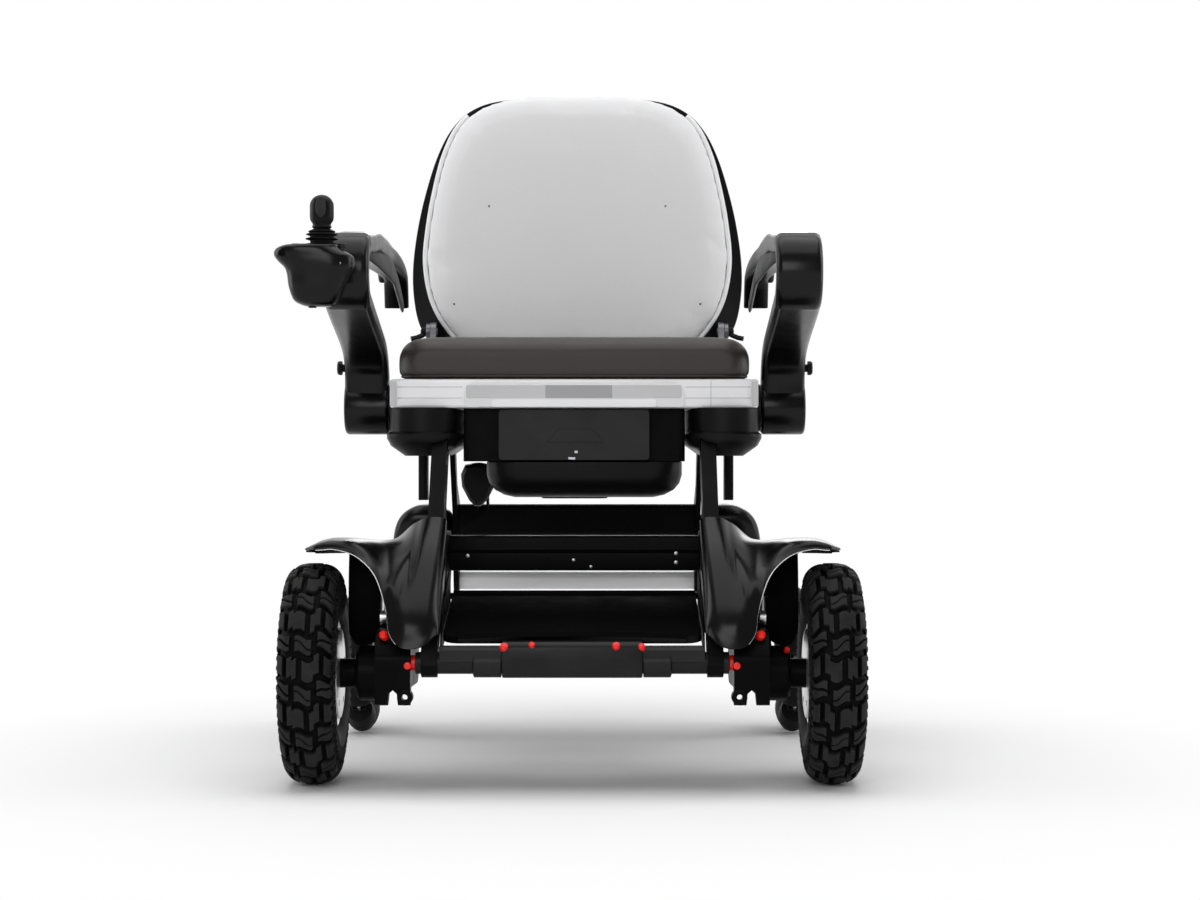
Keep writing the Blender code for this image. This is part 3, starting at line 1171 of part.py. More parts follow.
# Rear arm from its rounded top to its foot: height, inner x, outer x, depth of its middle, half depth
REAR_ARM_LEVELS = ((0.3115, 0.186, 0.205, 0.452, 0.010), (0.3070, 0.172, 0.222, 0.452, 0.020),
                   (0.2930, 0.1643, 0.2370, 0.452, 0.026), (0.2700, 0.1643, 0.2440, 0.458, 0.028),
                   (0.2300, 0.180, 0.2480, 0.474, 0.025), (0.1700, 0.212, 0.2560, 0.499, 0.021),
                   (0.1200, 0.236, 0.2640, 0.521, 0.020), (0.0850, 0.240, 0.2655, 0.530, 0.016),
                   (0.0780, 0.244, 0.2620, 0.531, 0.009))


def make_rear_arms():
    """Rounded casting from each end of the crossbar down to an omni wheel's axle."""
    for side, s in SIDES:
        rings = []
        for height, inner, outer, depth, half in REAR_ARM_LEVELS:
            corner = min(half, (outer - inner) / 2) * 0.75
            outline = box_outline(inner, behind(depth) - half, outer, behind(depth) + half, corner, 2)
            rings.append([(s * u, v, height) for u, v in outline])
        name = "rear_arm_" + side
        arm = finished(name, loft_mesh(name, rings), "black_plastic", "rear_frame")
        low, high = sorted((s * 0.252, s * (REAR_TRACK / 2 + OMNI_WIDTH / 2 - 0.004)))
        join(arm, side_bar("axle", (WHEELBASE, OMNI_RADIUS), low, high, AXLE_RADIUS * 0.8, 12))


def make_omni_wheels():
    """Hub with forks and, between each two forks, a barrel roller on a pin across the rolling direction."""
    middle = Vector((0, behind(WHEELBASE), OMNI_RADIUS))
    sector = math.tau / ROLLERS
    roller_ring = OMNI_RADIUS - ROLLER_RADIUS
    pin_half = roller_ring * math.tan(sector / 2)
    fork_root = OMNI_HUB_RADIUS + 0.005
    fork_tip = roller_ring / math.cos(sector / 2) + ROLLER_PIN_RADIUS + 0.0010
    for side, s in SIDES:
        centre = middle + Vector((s * REAR_TRACK / 2, 0, 0))
        outline = []
        for fork in range(ROLLERS):
            angle = fork * sector
            out = Vector((math.cos(angle), math.sin(angle)))
            turn = Vector((-out.y, out.x))
            for radius, offset in ((OMNI_HUB_RADIUS, -0.0040), (fork_root, -FORK_HALF), (fork_tip, -FORK_HALF),
                                   (fork_tip, FORK_HALF), (fork_root, FORK_HALF), (OMNI_HUB_RADIUS, 0.0040)):
                outline.append(tuple(out * radius + turn * offset))
            gap = Vector((math.cos(angle + sector / 2), math.sin(angle + sector / 2))) * (OMNI_HUB_RADIUS - 0.0015)
            outline.append(tuple(gap))
        outline = [(u + centre.y, v + centre.z) for u, v in outline]
        bore = disc_outline(centre.y, centre.z, AXLE_RADIUS * 0.8 + SLIDING_FIT, 12)
        name = "omni_wheel_" + side
        hub = plate_mesh(name, outline, SIDE, centre.x - OMNI_HUB_HALF, centre.x + OMNI_HUB_HALF, [bore])
        wheel = finished(name, hub, "dark_plastic", "rear_wheel_" + side)
        rollers = []
        for roller in range(ROLLERS):
            angle = (roller + 0.5) * sector
            out = Vector((0, math.cos(angle), math.sin(angle)))
            turn = Vector((0, -out.z, out.y))
            barrel = [(0, -pin_half), (ROLLER_PIN_RADIUS, -pin_half), (ROLLER_PIN_RADIUS, -ROLLER_HALF_LENGTH)]
            for step in range(ROLLER_STEPS + 1):
                along = ROLLER_HALF_LENGTH * (2 * step / ROLLER_STEPS - 1)
                barrel.append((math.sqrt(OMNI_RADIUS ** 2 - along ** 2) - roller_ring, along))
            barrel += [(ROLLER_PIN_RADIUS, ROLLER_HALF_LENGTH), (ROLLER_PIN_RADIUS, pin_half), (0, pin_half)]
            frame = Matrix.Identity(4)
            for column, axis in enumerate((out, turn.cross(out), turn)):
                for row in range(3):
                    frame[row][column] = axis[row]
            place = Matrix.Translation(centre + out * roller_ring) @ frame
            rollers.append(turned_mesh("roller", barrel, place, ROLLER_SIDES))
        join(wheel, joined_mesh("rollers", rollers))


def make_rear_frame():
    make_rear_legs()
    make_crossbar()
    make_rear_arms()
    make_omni_wheels()


# Backrest outlines from the bottom up: height and how far the side is drawn in from the widest place
SHELL_OUTLINE = ((0.500, 0.0765), (0.508, 0.0505), (0.521, 0.0325), (0.535, 0.0210), (0.555, 0.0099),
                 (0.590, 0.0017), (0.631, 0.0), (0.687, 0.0072), (0.740, 0.0205), (0.789, 0.0375), (0.820, 0.0545),
                 (0.842, 0.0765), (0.857, 0.1065), (0.8650, 0.1505))
PAD_OUTLINE = ((0.514, 0.0862), (0.519, 0.0642), (0.527, 0.0502), (0.539, 0.0382), (0.564, 0.0202),
               (0.592, 0.0077), (0.640, 0.0), (0.690, 0.0042), (0.739, 0.0132), (0.789, 0.0267), (0.826, 0.0452),
               (0.846, 0.0662), (0.8585, 0.0912), (0.8655, 0.1262))


def back_ring(outline, widest, inset, depth):
    """Ring of a backrest outline at a depth, drawn in all round by an inset."""
    middle = (outline[0][0] + outline[-1][0]) / 2
    across_share = 1 - inset / widest
    up_share = 1 - inset / (outline[-1][0] - middle)
    edge = [((widest - drawn) * across_share, middle + (height - middle) * up_share) for height, drawn in outline]
    edge += [(-u, v) for u, v in reversed(edge)]
    return [(u, behind(depth), v) for u, v in edge]


def make_back_shell():
    """Moulded shell with a lug and pin at each hinge, and a spigot for each recline lever."""
    levels = ((0.0, 0.0), (0.0, 0.32), (0.010, 0.57), (0.032, 0.82), (0.072, 1.0))
    widest = SEAT_HALF_WIDTH + SHELL_OVERHANG
    rings = [back_ring(SHELL_OUTLINE, widest, inset, BACK_FACE + SHELL_DEPTH * share) for inset, share in levels]
    shell = finished("back_shell", loft_mesh("back_shell", rings), "black_plastic", "backrest")
    depth, height = BACK_HINGE
    boss = 0.0115
    outline = rounded([(behind(BACK_FACE + 0.006), height - boss, 0), (behind(BACK_FACE + 0.006), height + boss, 0),
                       (behind(depth - boss), height + boss, boss * 0.98),
                       (behind(depth - boss), height - boss, boss * 0.98)], 3)
    lug_inner = BACK_BRACKET_X + BACK_BRACKET_THICKNESS + GAP
    lug_outer = lug_inner + BACK_LUG_THICKNESS
    lugs, pins = [], []
    for side, s in SIDES:
        low, high = sorted((s * lug_inner, s * lug_outer))
        lugs.append(plate_mesh("lug", outline, SIDE, low, high))
        for inner, outer, radius in ((BACK_BRACKET_X - 0.0015, lug_outer - 0.0020, BACK_PIN_RADIUS),
                                     (lug_outer - 0.0010, LEVER_X + 0.0060, LEVER_PIN_RADIUS)):
            low, high = sorted((s * inner, s * outer))
            pins.append(side_bar("pin", BACK_HINGE, low, high, radius, 12))
    join(shell, joined_mesh("lugs", lugs))
    join(shell, joined_mesh("pins", pins))


def make_back_pad():
    """Crowned pad in front of the shell: (inset, share of its depth) from its flat back to the crown."""
    rear = BACK_FACE - GAP
    levels = ((0.006, 0.0), (0.001, 0.14), (0.0, 0.32), (0.003, 0.56), (0.011, 0.76), (0.028, 0.91),
              (0.080, 1.0))
    widest = SEAT_HALF_WIDTH + SHELL_OVERHANG - PAD_BORDER
    rings = [back_ring(PAD_OUTLINE, widest, inset, rear - PAD_DEPTH * share) for inset, share in levels]
    finished("back_pad", loft_mesh("back_pad", rings), "pale_fabric", "backrest")


def make_push_handle():
    """Bar across the back of the shell."""
    foot = BACK_FACE + SHELL_DEPTH + GAP
    grip = BACK_FACE + SHELL_DEPTH + HANDLE_STANDOFF
    bend = [(HANDLE_HALF, foot), (HANDLE_HALF, grip - 0.0120), (HANDLE_HALF - 0.0035, grip - 0.0040),
            (HANDLE_HALF - 0.0120, grip)]
    path = [across((depth, HANDLE_HEIGHT), x) for x, depth in bend]
    path += [across((depth, HANDLE_HEIGHT), -x) for x, depth in reversed(bend)]
    finished("push_handle", tube_mesh("push_handle", path, HANDLE_RADIUS, 1), "black_plastic", "backrest")


def make_recline_levers():
    """Small lever on the outer end of each backrest pin."""
    depth, height = BACK_HINGE
    for side, s in SIDES:
        name = "recline_lever_" + side
        low, high = sorted((s * (LEVER_X - 0.0014), s * (LEVER_X + 0.0050)))
        lever = finished(name, side_bar(name, BACK_HINGE, low, high, 0.0075, 12), "dark_plastic", name)
        grip = [across((depth - 0.0035, height - 0.0050), s * (LEVER_X + 0.0025)),
                across((depth - 0.0080, height - 0.0090), s * (LEVER_X + LEVER_REACH * 0.62)),
                across((depth - 0.0100, height - 0.0105), s * (LEVER_X + LEVER_REACH))]
        join(lever, tube_mesh("grip", grip, LEVER_RADIUS, 1))
        low, high = sorted((s * (LEVER_X - 0.02), s * (LEVER_X + 0.03)))
        cut(lever, side_bar("bore", BACK_HINGE, low, high, LEVER_PIN_RADIUS + SLIDING_FIT / 2, 12))


def make_backrest():
    make_back_shell()
    make_back_pad()
    make_push_handle()
    make_recline_levers()


def armrest_line():
    """Middle line of the armrest band: (depth, height, half thickness) from the barrel to the rear hook."""
    line = [(0.216, 0.450, 0.0240), (0.208, 0.482, 0.0190), (0.186, 0.503, 0.0150), (0.140, 0.518, BAND_HALF),
            (0.030, 0.5420, BAND_HALF)]
    for step in range(7):
        angle = math.radians(264 - 28 * step)
        line.append((CURL_PLACE[0] + CURL_RADIUS * math.cos(angle), CURL_PLACE[1] + CURL_RADIUS * math.sin(angle),
                     BAND_HALF))
    return line + [(0.060, 0.6275, BAND_HALF), (0.130, 0.6345, BAND_HALF), (0.230, 0.6345, BAND_HALF),
                   (0.300, 0.6305, BAND_HALF), (0.350, 0.6195, 0.0115), (0.375, 0.6020, 0.0085),
                   (0.387, 0.5700, 0.0060)]


def make_armrests():
    """Band that rises from the barrel, curls over at the front and runs back to a hook."""
    line = armrest_line()
    for side, s in SIDES:
        rings = []
        for i, (depth, height, half) in enumerate(line):
            before, after = line[max(i - 1, 0)], line[min(i + 1, len(line) - 1)]
            along = Vector((after[0] - before[0], after[1] - before[1])).normalized()
            section = box_outline(ARMREST_INNER + 0.0005, -half, ARMREST_OUTER - 0.0005, half, 0.007, 2)
            rings.append([(s * u, behind(depth - along.y * v), height + along.x * v) for u, v in section])
        name = "armrest_" + side
        arm = finished(name, loft_mesh(name, rings), "black_plastic", name)
        low, high = sorted((s * ARMREST_INNER, s * ARMREST_OUTER))
        join(arm, side_bar("barrel", ARMREST_HINGE, low, high, ARMREST_BARREL, 18))
        low, high = sorted((s * (ARMREST_INNER - 0.01), s * (ARMREST_OUTER - 0.0055)))
        cut(arm, side_bar("pin_bore", ARMREST_HINGE, low, high, ARMREST_PIN + SLIDING_FIT, 16))
        stem_end = ARMREST_OUTER - ARM_LOCK_REACH
        low, high = sorted((s * (stem_end - ARM_LOCK_END_GAP), s * (ARMREST_OUTER + 0.01)))
        cut(arm, side_bar("lock_bore", ARM_LOCK_PLACE, low, high, ARM_LOCK_STEM + SLIDING_FIT, 10))

        cap = ARMREST_OUTER + ARM_LOCK_TRAVEL + 0.0005
        profile = [(0, stem_end), (ARM_LOCK_STEM, stem_end), (ARM_LOCK_STEM, cap), (0.0090, cap),
                   (0.0090, cap + 0.004), (0.0072, cap + 0.006), (0, cap + 0.006)]
        name = "arm_lock_knob_" + side
        turned = [(r, s * x) for r, x in profile]
        finished(name, turned_mesh(name, turned, axle_matrix(ARM_LOCK_PLACE), 10), "dark_plastic", "arm_lock_" + side)


# Joystick pod from its underside up: height under its top, sideways shift, half width, half depth
POD_LEVELS = ((0.0680, 0.002, 0.0215, 0.0150), (0.0630, 0.002, 0.0295, 0.0205), (0.0480, 0.003, 0.0325, 0.0245),
              (0.0330, 0.001, 0.0360, 0.0255), (0.0200, -0.002, 0.0425, 0.0265), (0.0050, -0.0035, 0.0445, 0.0265),
              (0.0, -0.002, 0.0385, 0.0225))


def upright(x):
    """Stands a turned profile on its own Z at this X in the middle of the joystick pod."""
    return Matrix.Translation((x, behind(POD_DEPTH), 0))


def make_joystick_pod():
    """Pod in front of the user's right armrest, with seats for the boot and two buttons."""
    y = behind(POD_DEPTH)
    rings = []
    for under, shift, half_x, half_y in POD_LEVELS:
        x = POD_X + shift
        outline = box_outline(x - half_x, y - half_y, x + half_x, y + half_y, half_y * 0.75, 2)
        rings.append([(u, v, POD_TOP_HEIGHT - under) for u, v in outline])
    pod = finished("joystick_pod", loft_mesh("joystick_pod", rings), "dark_plastic", "armrest_right")
    seat = behind(CURL_PLACE[0] - CURL_RADIUS - BAND_HALF) - GAP
    seat_low, seat_high = POD_TOP_HEIGHT - 0.041, POD_TOP_HEIGHT - 0.011
    join(pod, box_mesh("arm_seat", (POD_X + 0.006, seat - 0.012, seat_low), (POD_X + 0.035, seat, seat_high)))
    port = Vector((POD_X - 0.006, y - 0.004, POD_TOP_HEIGHT - POD_LEVELS[0][0]))
    up = Vector((0, 0, 1))
    join(pod, cylinder_mesh("cable_port", port - up * 0.0025, port + up * 0.0030, 0.0045, 10))
    above = POD_TOP_HEIGHT + 0.017
    cut(pod, turned_mesh("boot_seat", [(0, BOOT_SEAT_FLOOR), (BOOT_SEAT_RADIUS, BOOT_SEAT_FLOOR),
                                       (BOOT_SEAT_RADIUS, above), (0, above)], upright(STICK_X), 14))
    join(pod, side_bar("gimbal_pin", (POD_DEPTH, STICK_TILT_HEIGHT), STICK_X - BOOT_SEAT_RADIUS - 0.001,
                       STICK_X + BOOT_SEAT_RADIUS + 0.001, GIMBAL_PIN_RADIUS, 8))
    for x, radius in ((POWER_BUTTON_X, POWER_BUTTON_RADIUS), (SPEED_BUTTON_X, SPEED_BUTTON_RADIUS)):
        wide = radius + 0.0005
        cut(pod, turned_mesh("button_seat", [(0, BUTTON_FLOOR), (wide, BUTTON_FLOOR), (wide, above), (0, above)],
                             upright(x), 12))


def make_joystick():
    """Bellows boot that tilts fore and aft, the stick over its crown that tilts sideways, and two buttons."""
    neck = ((0, -0.0065), (BOOT_NECK, -0.0065), (BOOT_NECK, 0.0045), (0.0125, 0.0115))
    ribs = ((BOOT_RADIUS, 0.0145), (0.0160, 0.0164), (0.0188, 0.0185), (0.0138, 0.0199), (0.0155, 0.0214),
            (0.0112, 0.0230), (0.0118, 0.0240), (0.0070, 0.0260), (0, 0.0272))
    boot = [(radius, STICK_TILT_HEIGHT + height) for radius, height in neck + ribs]
    bellows = finished("joystick_boot", turned_mesh("joystick_boot", boot, upright(STICK_X), 12), "black_plastic",
                       "joystick_gimbal")
    cut(bellows, side_bar("gimbal_bore", (POD_DEPTH, STICK_TILT_HEIGHT), STICK_X - 0.02, STICK_X + 0.02,
                          GIMBAL_PIN_RADIUS + SLIDING_FIT, 8))
    cup = 0.0095
    cup_edge = STICK_TILT_HEIGHT + math.sqrt(STICK_BALL ** 2 - cup ** 2)
    stick = [(0, STICK_TILT_HEIGHT + STICK_BALL), (cup, cup_edge), (STICK_RADIUS, cup_edge + 0.004),
             (STICK_RADIUS, STICK_TOP - 0.011), (0.0118, STICK_TOP - 0.0045), (0.0075, STICK_TOP - 0.0010),
             (0, STICK_TOP)]
    finished("joystick_stick", turned_mesh("joystick_stick", stick, upright(STICK_X), 16), "dark_plastic",
             "joystick_stick")
    bottom = BUTTON_FLOOR + BUTTON_TRAVEL + 0.0005
    top = POD_TOP_HEIGHT + BUTTON_TRAVEL
    for name, x, radius in (("power_button", POWER_BUTTON_X, POWER_BUTTON_RADIUS),
                            ("speed_button", SPEED_BUTTON_X, SPEED_BUTTON_RADIUS)):
        cap = [(0, bottom), (radius, bottom), (radius, top - 0.0007), (radius - 0.0009, top), (0, top)]
        finished(name, turned_mesh(name, cap, upright(x), 12), "dark_plastic", name)


def make_armrest_group():
    make_armrests()
    make_joystick_pod()
    make_joystick()


place_bodies()
make_seat_group()
make_front_frame()
make_front_wheels()
make_rear_frame()
make_backrest()
make_armrest_group()
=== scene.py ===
"""Looks of the folding power wheelchair: finer shapes, finishes, soft pieces, floor, light and camera."""

import math

import bmesh
import bpy
from mathutils import Matrix, Vector


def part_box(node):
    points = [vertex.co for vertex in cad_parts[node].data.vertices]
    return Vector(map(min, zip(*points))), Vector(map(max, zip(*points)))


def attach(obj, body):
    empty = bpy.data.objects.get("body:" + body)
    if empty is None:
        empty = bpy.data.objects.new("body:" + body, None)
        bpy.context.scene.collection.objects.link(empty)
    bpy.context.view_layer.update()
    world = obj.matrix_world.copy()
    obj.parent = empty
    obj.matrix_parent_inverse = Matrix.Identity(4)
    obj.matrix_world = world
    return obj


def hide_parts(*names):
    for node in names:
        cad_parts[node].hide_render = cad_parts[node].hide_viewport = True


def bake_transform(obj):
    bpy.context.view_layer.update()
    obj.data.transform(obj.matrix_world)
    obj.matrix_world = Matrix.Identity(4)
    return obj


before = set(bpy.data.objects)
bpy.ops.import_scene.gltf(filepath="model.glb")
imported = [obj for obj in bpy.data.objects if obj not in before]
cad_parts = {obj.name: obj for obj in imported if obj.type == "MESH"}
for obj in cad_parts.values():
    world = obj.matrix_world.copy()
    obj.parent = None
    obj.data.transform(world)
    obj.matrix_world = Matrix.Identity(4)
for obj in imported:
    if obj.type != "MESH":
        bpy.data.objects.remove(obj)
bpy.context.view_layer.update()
SIDES = (("right", -1), ("left", 1))

# Camera, from the photograph's vanishing lines: an eye at this height, this far ahead of the front axle
EYE_HEIGHT = 0.39
EYE_DISTANCE = 2.90
EYE_X = 0.031
FOCAL_LENGTH = 75.4
TILT_DOWN = math.radians(0.114)

# Light on the object from all round, and the radii between which the floor fades to plain white
SKY_LEVEL = 0.30
FLOOR_FADE = (0.42, 1.00)

# Places that the frame gives
TYRE_LOW, TYRE_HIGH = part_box("front_tyre_left")
TYRE_RADIUS = (TYRE_HIGH.z - TYRE_LOW.z) / 2
AXLE_Y = (TYRE_LOW.y + TYRE_HIGH.y) / 2
TYRE_X = (TYRE_LOW.x + TYRE_HIGH.x) / 2
OMNI_LOW, OMNI_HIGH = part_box("omni_wheel_left")
OMNI_CENTRE = (OMNI_LOW + OMNI_HIGH) / 2
CUSHION_LOW, CUSHION_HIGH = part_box("seat_cushion")
PAD_LOW, PAD_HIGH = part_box("back_pad")
SHELL_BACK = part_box("back_shell")[1].y
SEAT_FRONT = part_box("seat_frame")[0].y


def behind(depth):
    """Y of a point this far behind the front axle."""
    return AXLE_Y + depth


def mm(*values):
    """Lengths in millimetres, in nested tuples, as metres."""
    return tuple(mm(*value) if isinstance(value, tuple) else value / 1000 for value in values)


# Shader helpers

def new_material(name):
    made = bpy.data.materials.new(name)
    made.use_nodes = True
    tree = made.node_tree
    return made, tree, next(node for node in tree.nodes if node.type == "BSDF_PRINCIPLED")


def feed(tree, node, inputs):
    """Links each input to the socket given for it, or sets it to the constant given."""
    for key, value in inputs.items():
        if isinstance(value, bpy.types.NodeSocket):
            tree.links.new(value, node.inputs[key])
        else:
            node.inputs[key].default_value = value


def add(tree, kind, inputs, output=0, **settings):
    """Adds a node and feeds it; gives one of its outputs."""
    node = tree.nodes.new("ShaderNode" + kind)
    for key, value in settings.items():
        setattr(node, key, value)
    feed(tree, node, inputs)
    return node.outputs[output]


def maths(tree, operation, *values):
    return add(tree, "Math", dict(enumerate(values)), operation=operation)


def surface_place(tree, scale=(1, 1, 1)):
    """Object coordinates, which stay on the piece as it moves."""
    return add(tree, "Mapping", {"Vector": add(tree, "TexCoord", {}, "Object"), "Scale": scale}, "Vector")


def noise(tree, place, scale, detail=3.0, roughness=0.5):
    inputs = {"Vector": place, "Scale": scale, "Detail": detail, "Roughness": roughness}
    return add(tree, "TexNoise", inputs, "Fac")


def spread(tree, value, low, high, from_low=0.3, from_high=0.7):
    """Maps a value to a range of numbers."""
    return add(tree, "MapRange", {"Value": value, "From Min": from_low, "From Max": from_high,
                                  "To Min": low, "To Max": high}, "Result")


def tint(tree, value, dark, light, from_low=0.3, from_high=0.7):
    """Maps a value to a colour between two colours."""
    ramp = tree.nodes.new("ShaderNodeValToRGB")
    for stop, position, colour in zip(ramp.color_ramp.elements, (from_low, from_high), (dark, light)):
        stop.position = position
        stop.color = (*colour, 1)
    tree.links.new(value, ramp.inputs["Fac"])
    return ramp.outputs["Color"]


def relief(tree, *layers):
    """Bump of (height, strength, distance) layers, the lowest first."""
    under = {}
    for height, strength, distance in layers:
        inputs = {"Height": height, "Strength": strength, "Distance": distance, **under}
        normal = add(tree, "Bump", inputs, "Normal")
        under = {"Normal": normal}
    return normal


def mixed(tree, factor, first, second):
    """Colour between a colour socket or value and another."""
    first, second = ((*c, 1) if isinstance(c, tuple) else c for c in (first, second))
    return add(tree, "Mix", {"Factor": factor, 6: first, 7: second}, 2, data_type="RGBA")


def rubbed(tree, body, edge, low=0.52, high=0.62):
    """The body's colour, with another one along sharp outer edges."""
    sharp = add(tree, "NewGeometry", {}, "Pointiness")
    return mixed(tree, spread(tree, sharp, 0.0, 1.0, low, high), body, edge)


def times(colour, factor, lift=0.0):
    return tuple(min(1.0, c * factor + lift) for c in colour)


# Kinds of surface: each gives the inputs of the material's shader

def moulded(tree, place, colour, roughness, gloss=0.4, grain=0.10, variation=0.25, worn=True):
    """Moulded plastic: fine spark-eroded grain, soft colour variation and edges rubbed lighter."""
    cloud = noise(tree, place, 14.0, 4.0)
    body = tint(tree, cloud, times(colour, 1 - variation), times(colour, 1 + variation))
    smear = noise(tree, place, 45.0, 5.0, 0.6)
    return {"Base Color": rubbed(tree, body, times(colour, 1.8, 0.004)) if worn else body,
            "Roughness": spread(tree, smear, roughness * 0.86, roughness * 1.16),
            "Normal": relief(tree, (noise(tree, place, 1900.0, 2.0), grain, 0.0002)),
            "Specular IOR Level": gloss}


def painted(tree, place, colour, roughness, coat=0.35, peel=0.05):
    """Sprayed gloss paint: long orange peel under a clear coat."""
    cloud = noise(tree, place, 9.0)
    smear = noise(tree, place, 60.0, 4.0, 0.6)
    return {"Base Color": tint(tree, cloud, times(colour, 0.985), times(colour, 1.01)),
            "Roughness": spread(tree, smear, roughness * 0.94, roughness * 1.06),
            "Normal": relief(tree, (noise(tree, place, 420.0, 2.0), peel, 0.0004)),
            "Coat Weight": coat, "Coat Roughness": 0.12}


def powder_coated(tree, place, colour, roughness, gloss):
    """Powder coat on steel or alloy: pebbled skin, chipped to brighter metal along edges."""
    cloud = noise(tree, place, 22.0, 5.0, 0.6)
    body = tint(tree, cloud, times(colour, 0.75), times(colour, 1.25))
    return {"Base Color": rubbed(tree, body, times(colour, 2.2, 0.012), 0.54, 0.66),
            "Roughness": spread(tree, cloud, roughness * 0.85, roughness * 1.15),
            "Normal": relief(tree, (noise(tree, place, 1100.0, 2.0), 0.16, 0.0003)),
            "Specular IOR Level": gloss}


def brushed(tree, place, colour, roughness, across, grain):
    """Brushed or turned metal: fine streaks along one direction."""
    streak = noise(tree, surface_place(tree, across), 900.0, 3.0, 0.7)
    cloud = noise(tree, place, 30.0)
    return {"Base Color": tint(tree, cloud, times(colour, 0.90), colour),
            "Roughness": spread(tree, streak, roughness * 0.7, roughness * 1.4),
            "Normal": relief(tree, (streak, grain, 0.0002)), "Metallic": 1.0}


def tyre_rubber(tree, place):
    """Tread rubber: lug tops scuffed grey; painted shade makes the foot of the grooves near black."""
    cloud = noise(tree, place, 35.0, 6.0, 0.65)
    top = tint(tree, cloud, (0.0135, 0.0135, 0.0135), (0.027, 0.0265, 0.026), 0.35, 0.7)
    lug = add(tree, "Attribute", {}, "Fac", attribute_name="lug")
    # painted shade: where the lug share drops, in the grooves, the colour goes near black
    body = mixed(tree, lug, (0.0008, 0.0008, 0.0008), top)
    scratch = noise(tree, surface_place(tree, (1, 0.25, 1)), 260.0, 4.0, 0.7)
    pores = noise(tree, place, 1500.0, 3.0, 0.7)
    return {"Base Color": rubbed(tree, body, (0.036, 0.035, 0.034), 0.52, 0.60),
            "Roughness": spread(tree, cloud, 0.50, 0.74),
            "Normal": relief(tree, (scratch, 0.12, 0.0006), (pores, 0.18, 0.0004)),
            "Specular IOR Level": 0.08}


def leather(tree, place, dark, light):
    """Grained synthetic leather: pebbles in two sizes, faint creases, uneven dye."""
    cells = add(tree, "TexVoronoi", {"Scale": 620.0, "Vector": place}, "Distance", feature="F1")
    fine = noise(tree, place, 1500.0, 3.0, 0.6)
    crease = noise(tree, surface_place(tree, (0.35, 1, 1)), 70.0, 5.0, 0.6)
    dye = noise(tree, place, 12.0, 5.0, 0.6)
    return {"Base Color": tint(tree, dye, dark, light), "Roughness": spread(tree, dye, 0.40, 0.56),
            "Normal": relief(tree, (crease, 0.10, 0.001), (cells, 0.30, 0.0005), (fine, 0.10, 0.0003)),
            "Specular IOR Level": 0.40}


def mesh_fabric(tree, place, colour, hole, pitch):
    """Spacer mesh: rows of small knitted holes, offset by half a pitch, both ways across the pad's face."""
    waves = [maths(tree, "SINE", maths(tree, "MULTIPLY", add(tree, "SeparateXYZ", {"Vector": place}, axis),
                                       math.tau / pitch)) for axis in "XZ"]
    thread = spread(tree, maths(tree, "MULTIPLY", *waves), 0.0, 1.0, 0.25, 0.65)
    base = tint(tree, noise(tree, place, 10.0), times(colour, 0.975), colour)
    lint = noise(tree, place, 2600.0, 2.0)
    sunk = maths(tree, "SUBTRACT", 1.0, thread)
    return {"Base Color": mixed(tree, thread, base, hole),
            "Roughness": spread(tree, lint, 0.78, 0.95),
            "Normal": relief(tree, (sunk, 0.35, 0.0006), (lint, 0.12, 0.0003)),
            "Specular IOR Level": 0.15, "Sheen Weight": 0.03}


def woven(tree, place, colour):
    """Plain woven binding tape; its white also draws the painted highlight along the fender rims."""
    weave = add(tree, "TexChecker", {"Scale": 1400.0, "Vector": place}, "Fac")
    cloud = noise(tree, place, 80.0)
    return {"Base Color": tint(tree, cloud, times(colour, 0.94), colour),
            "Roughness": spread(tree, cloud, 0.70, 0.90),
            "Normal": relief(tree, (weave, 0.25, 0.0003)), "Specular IOR Level": 0.2}


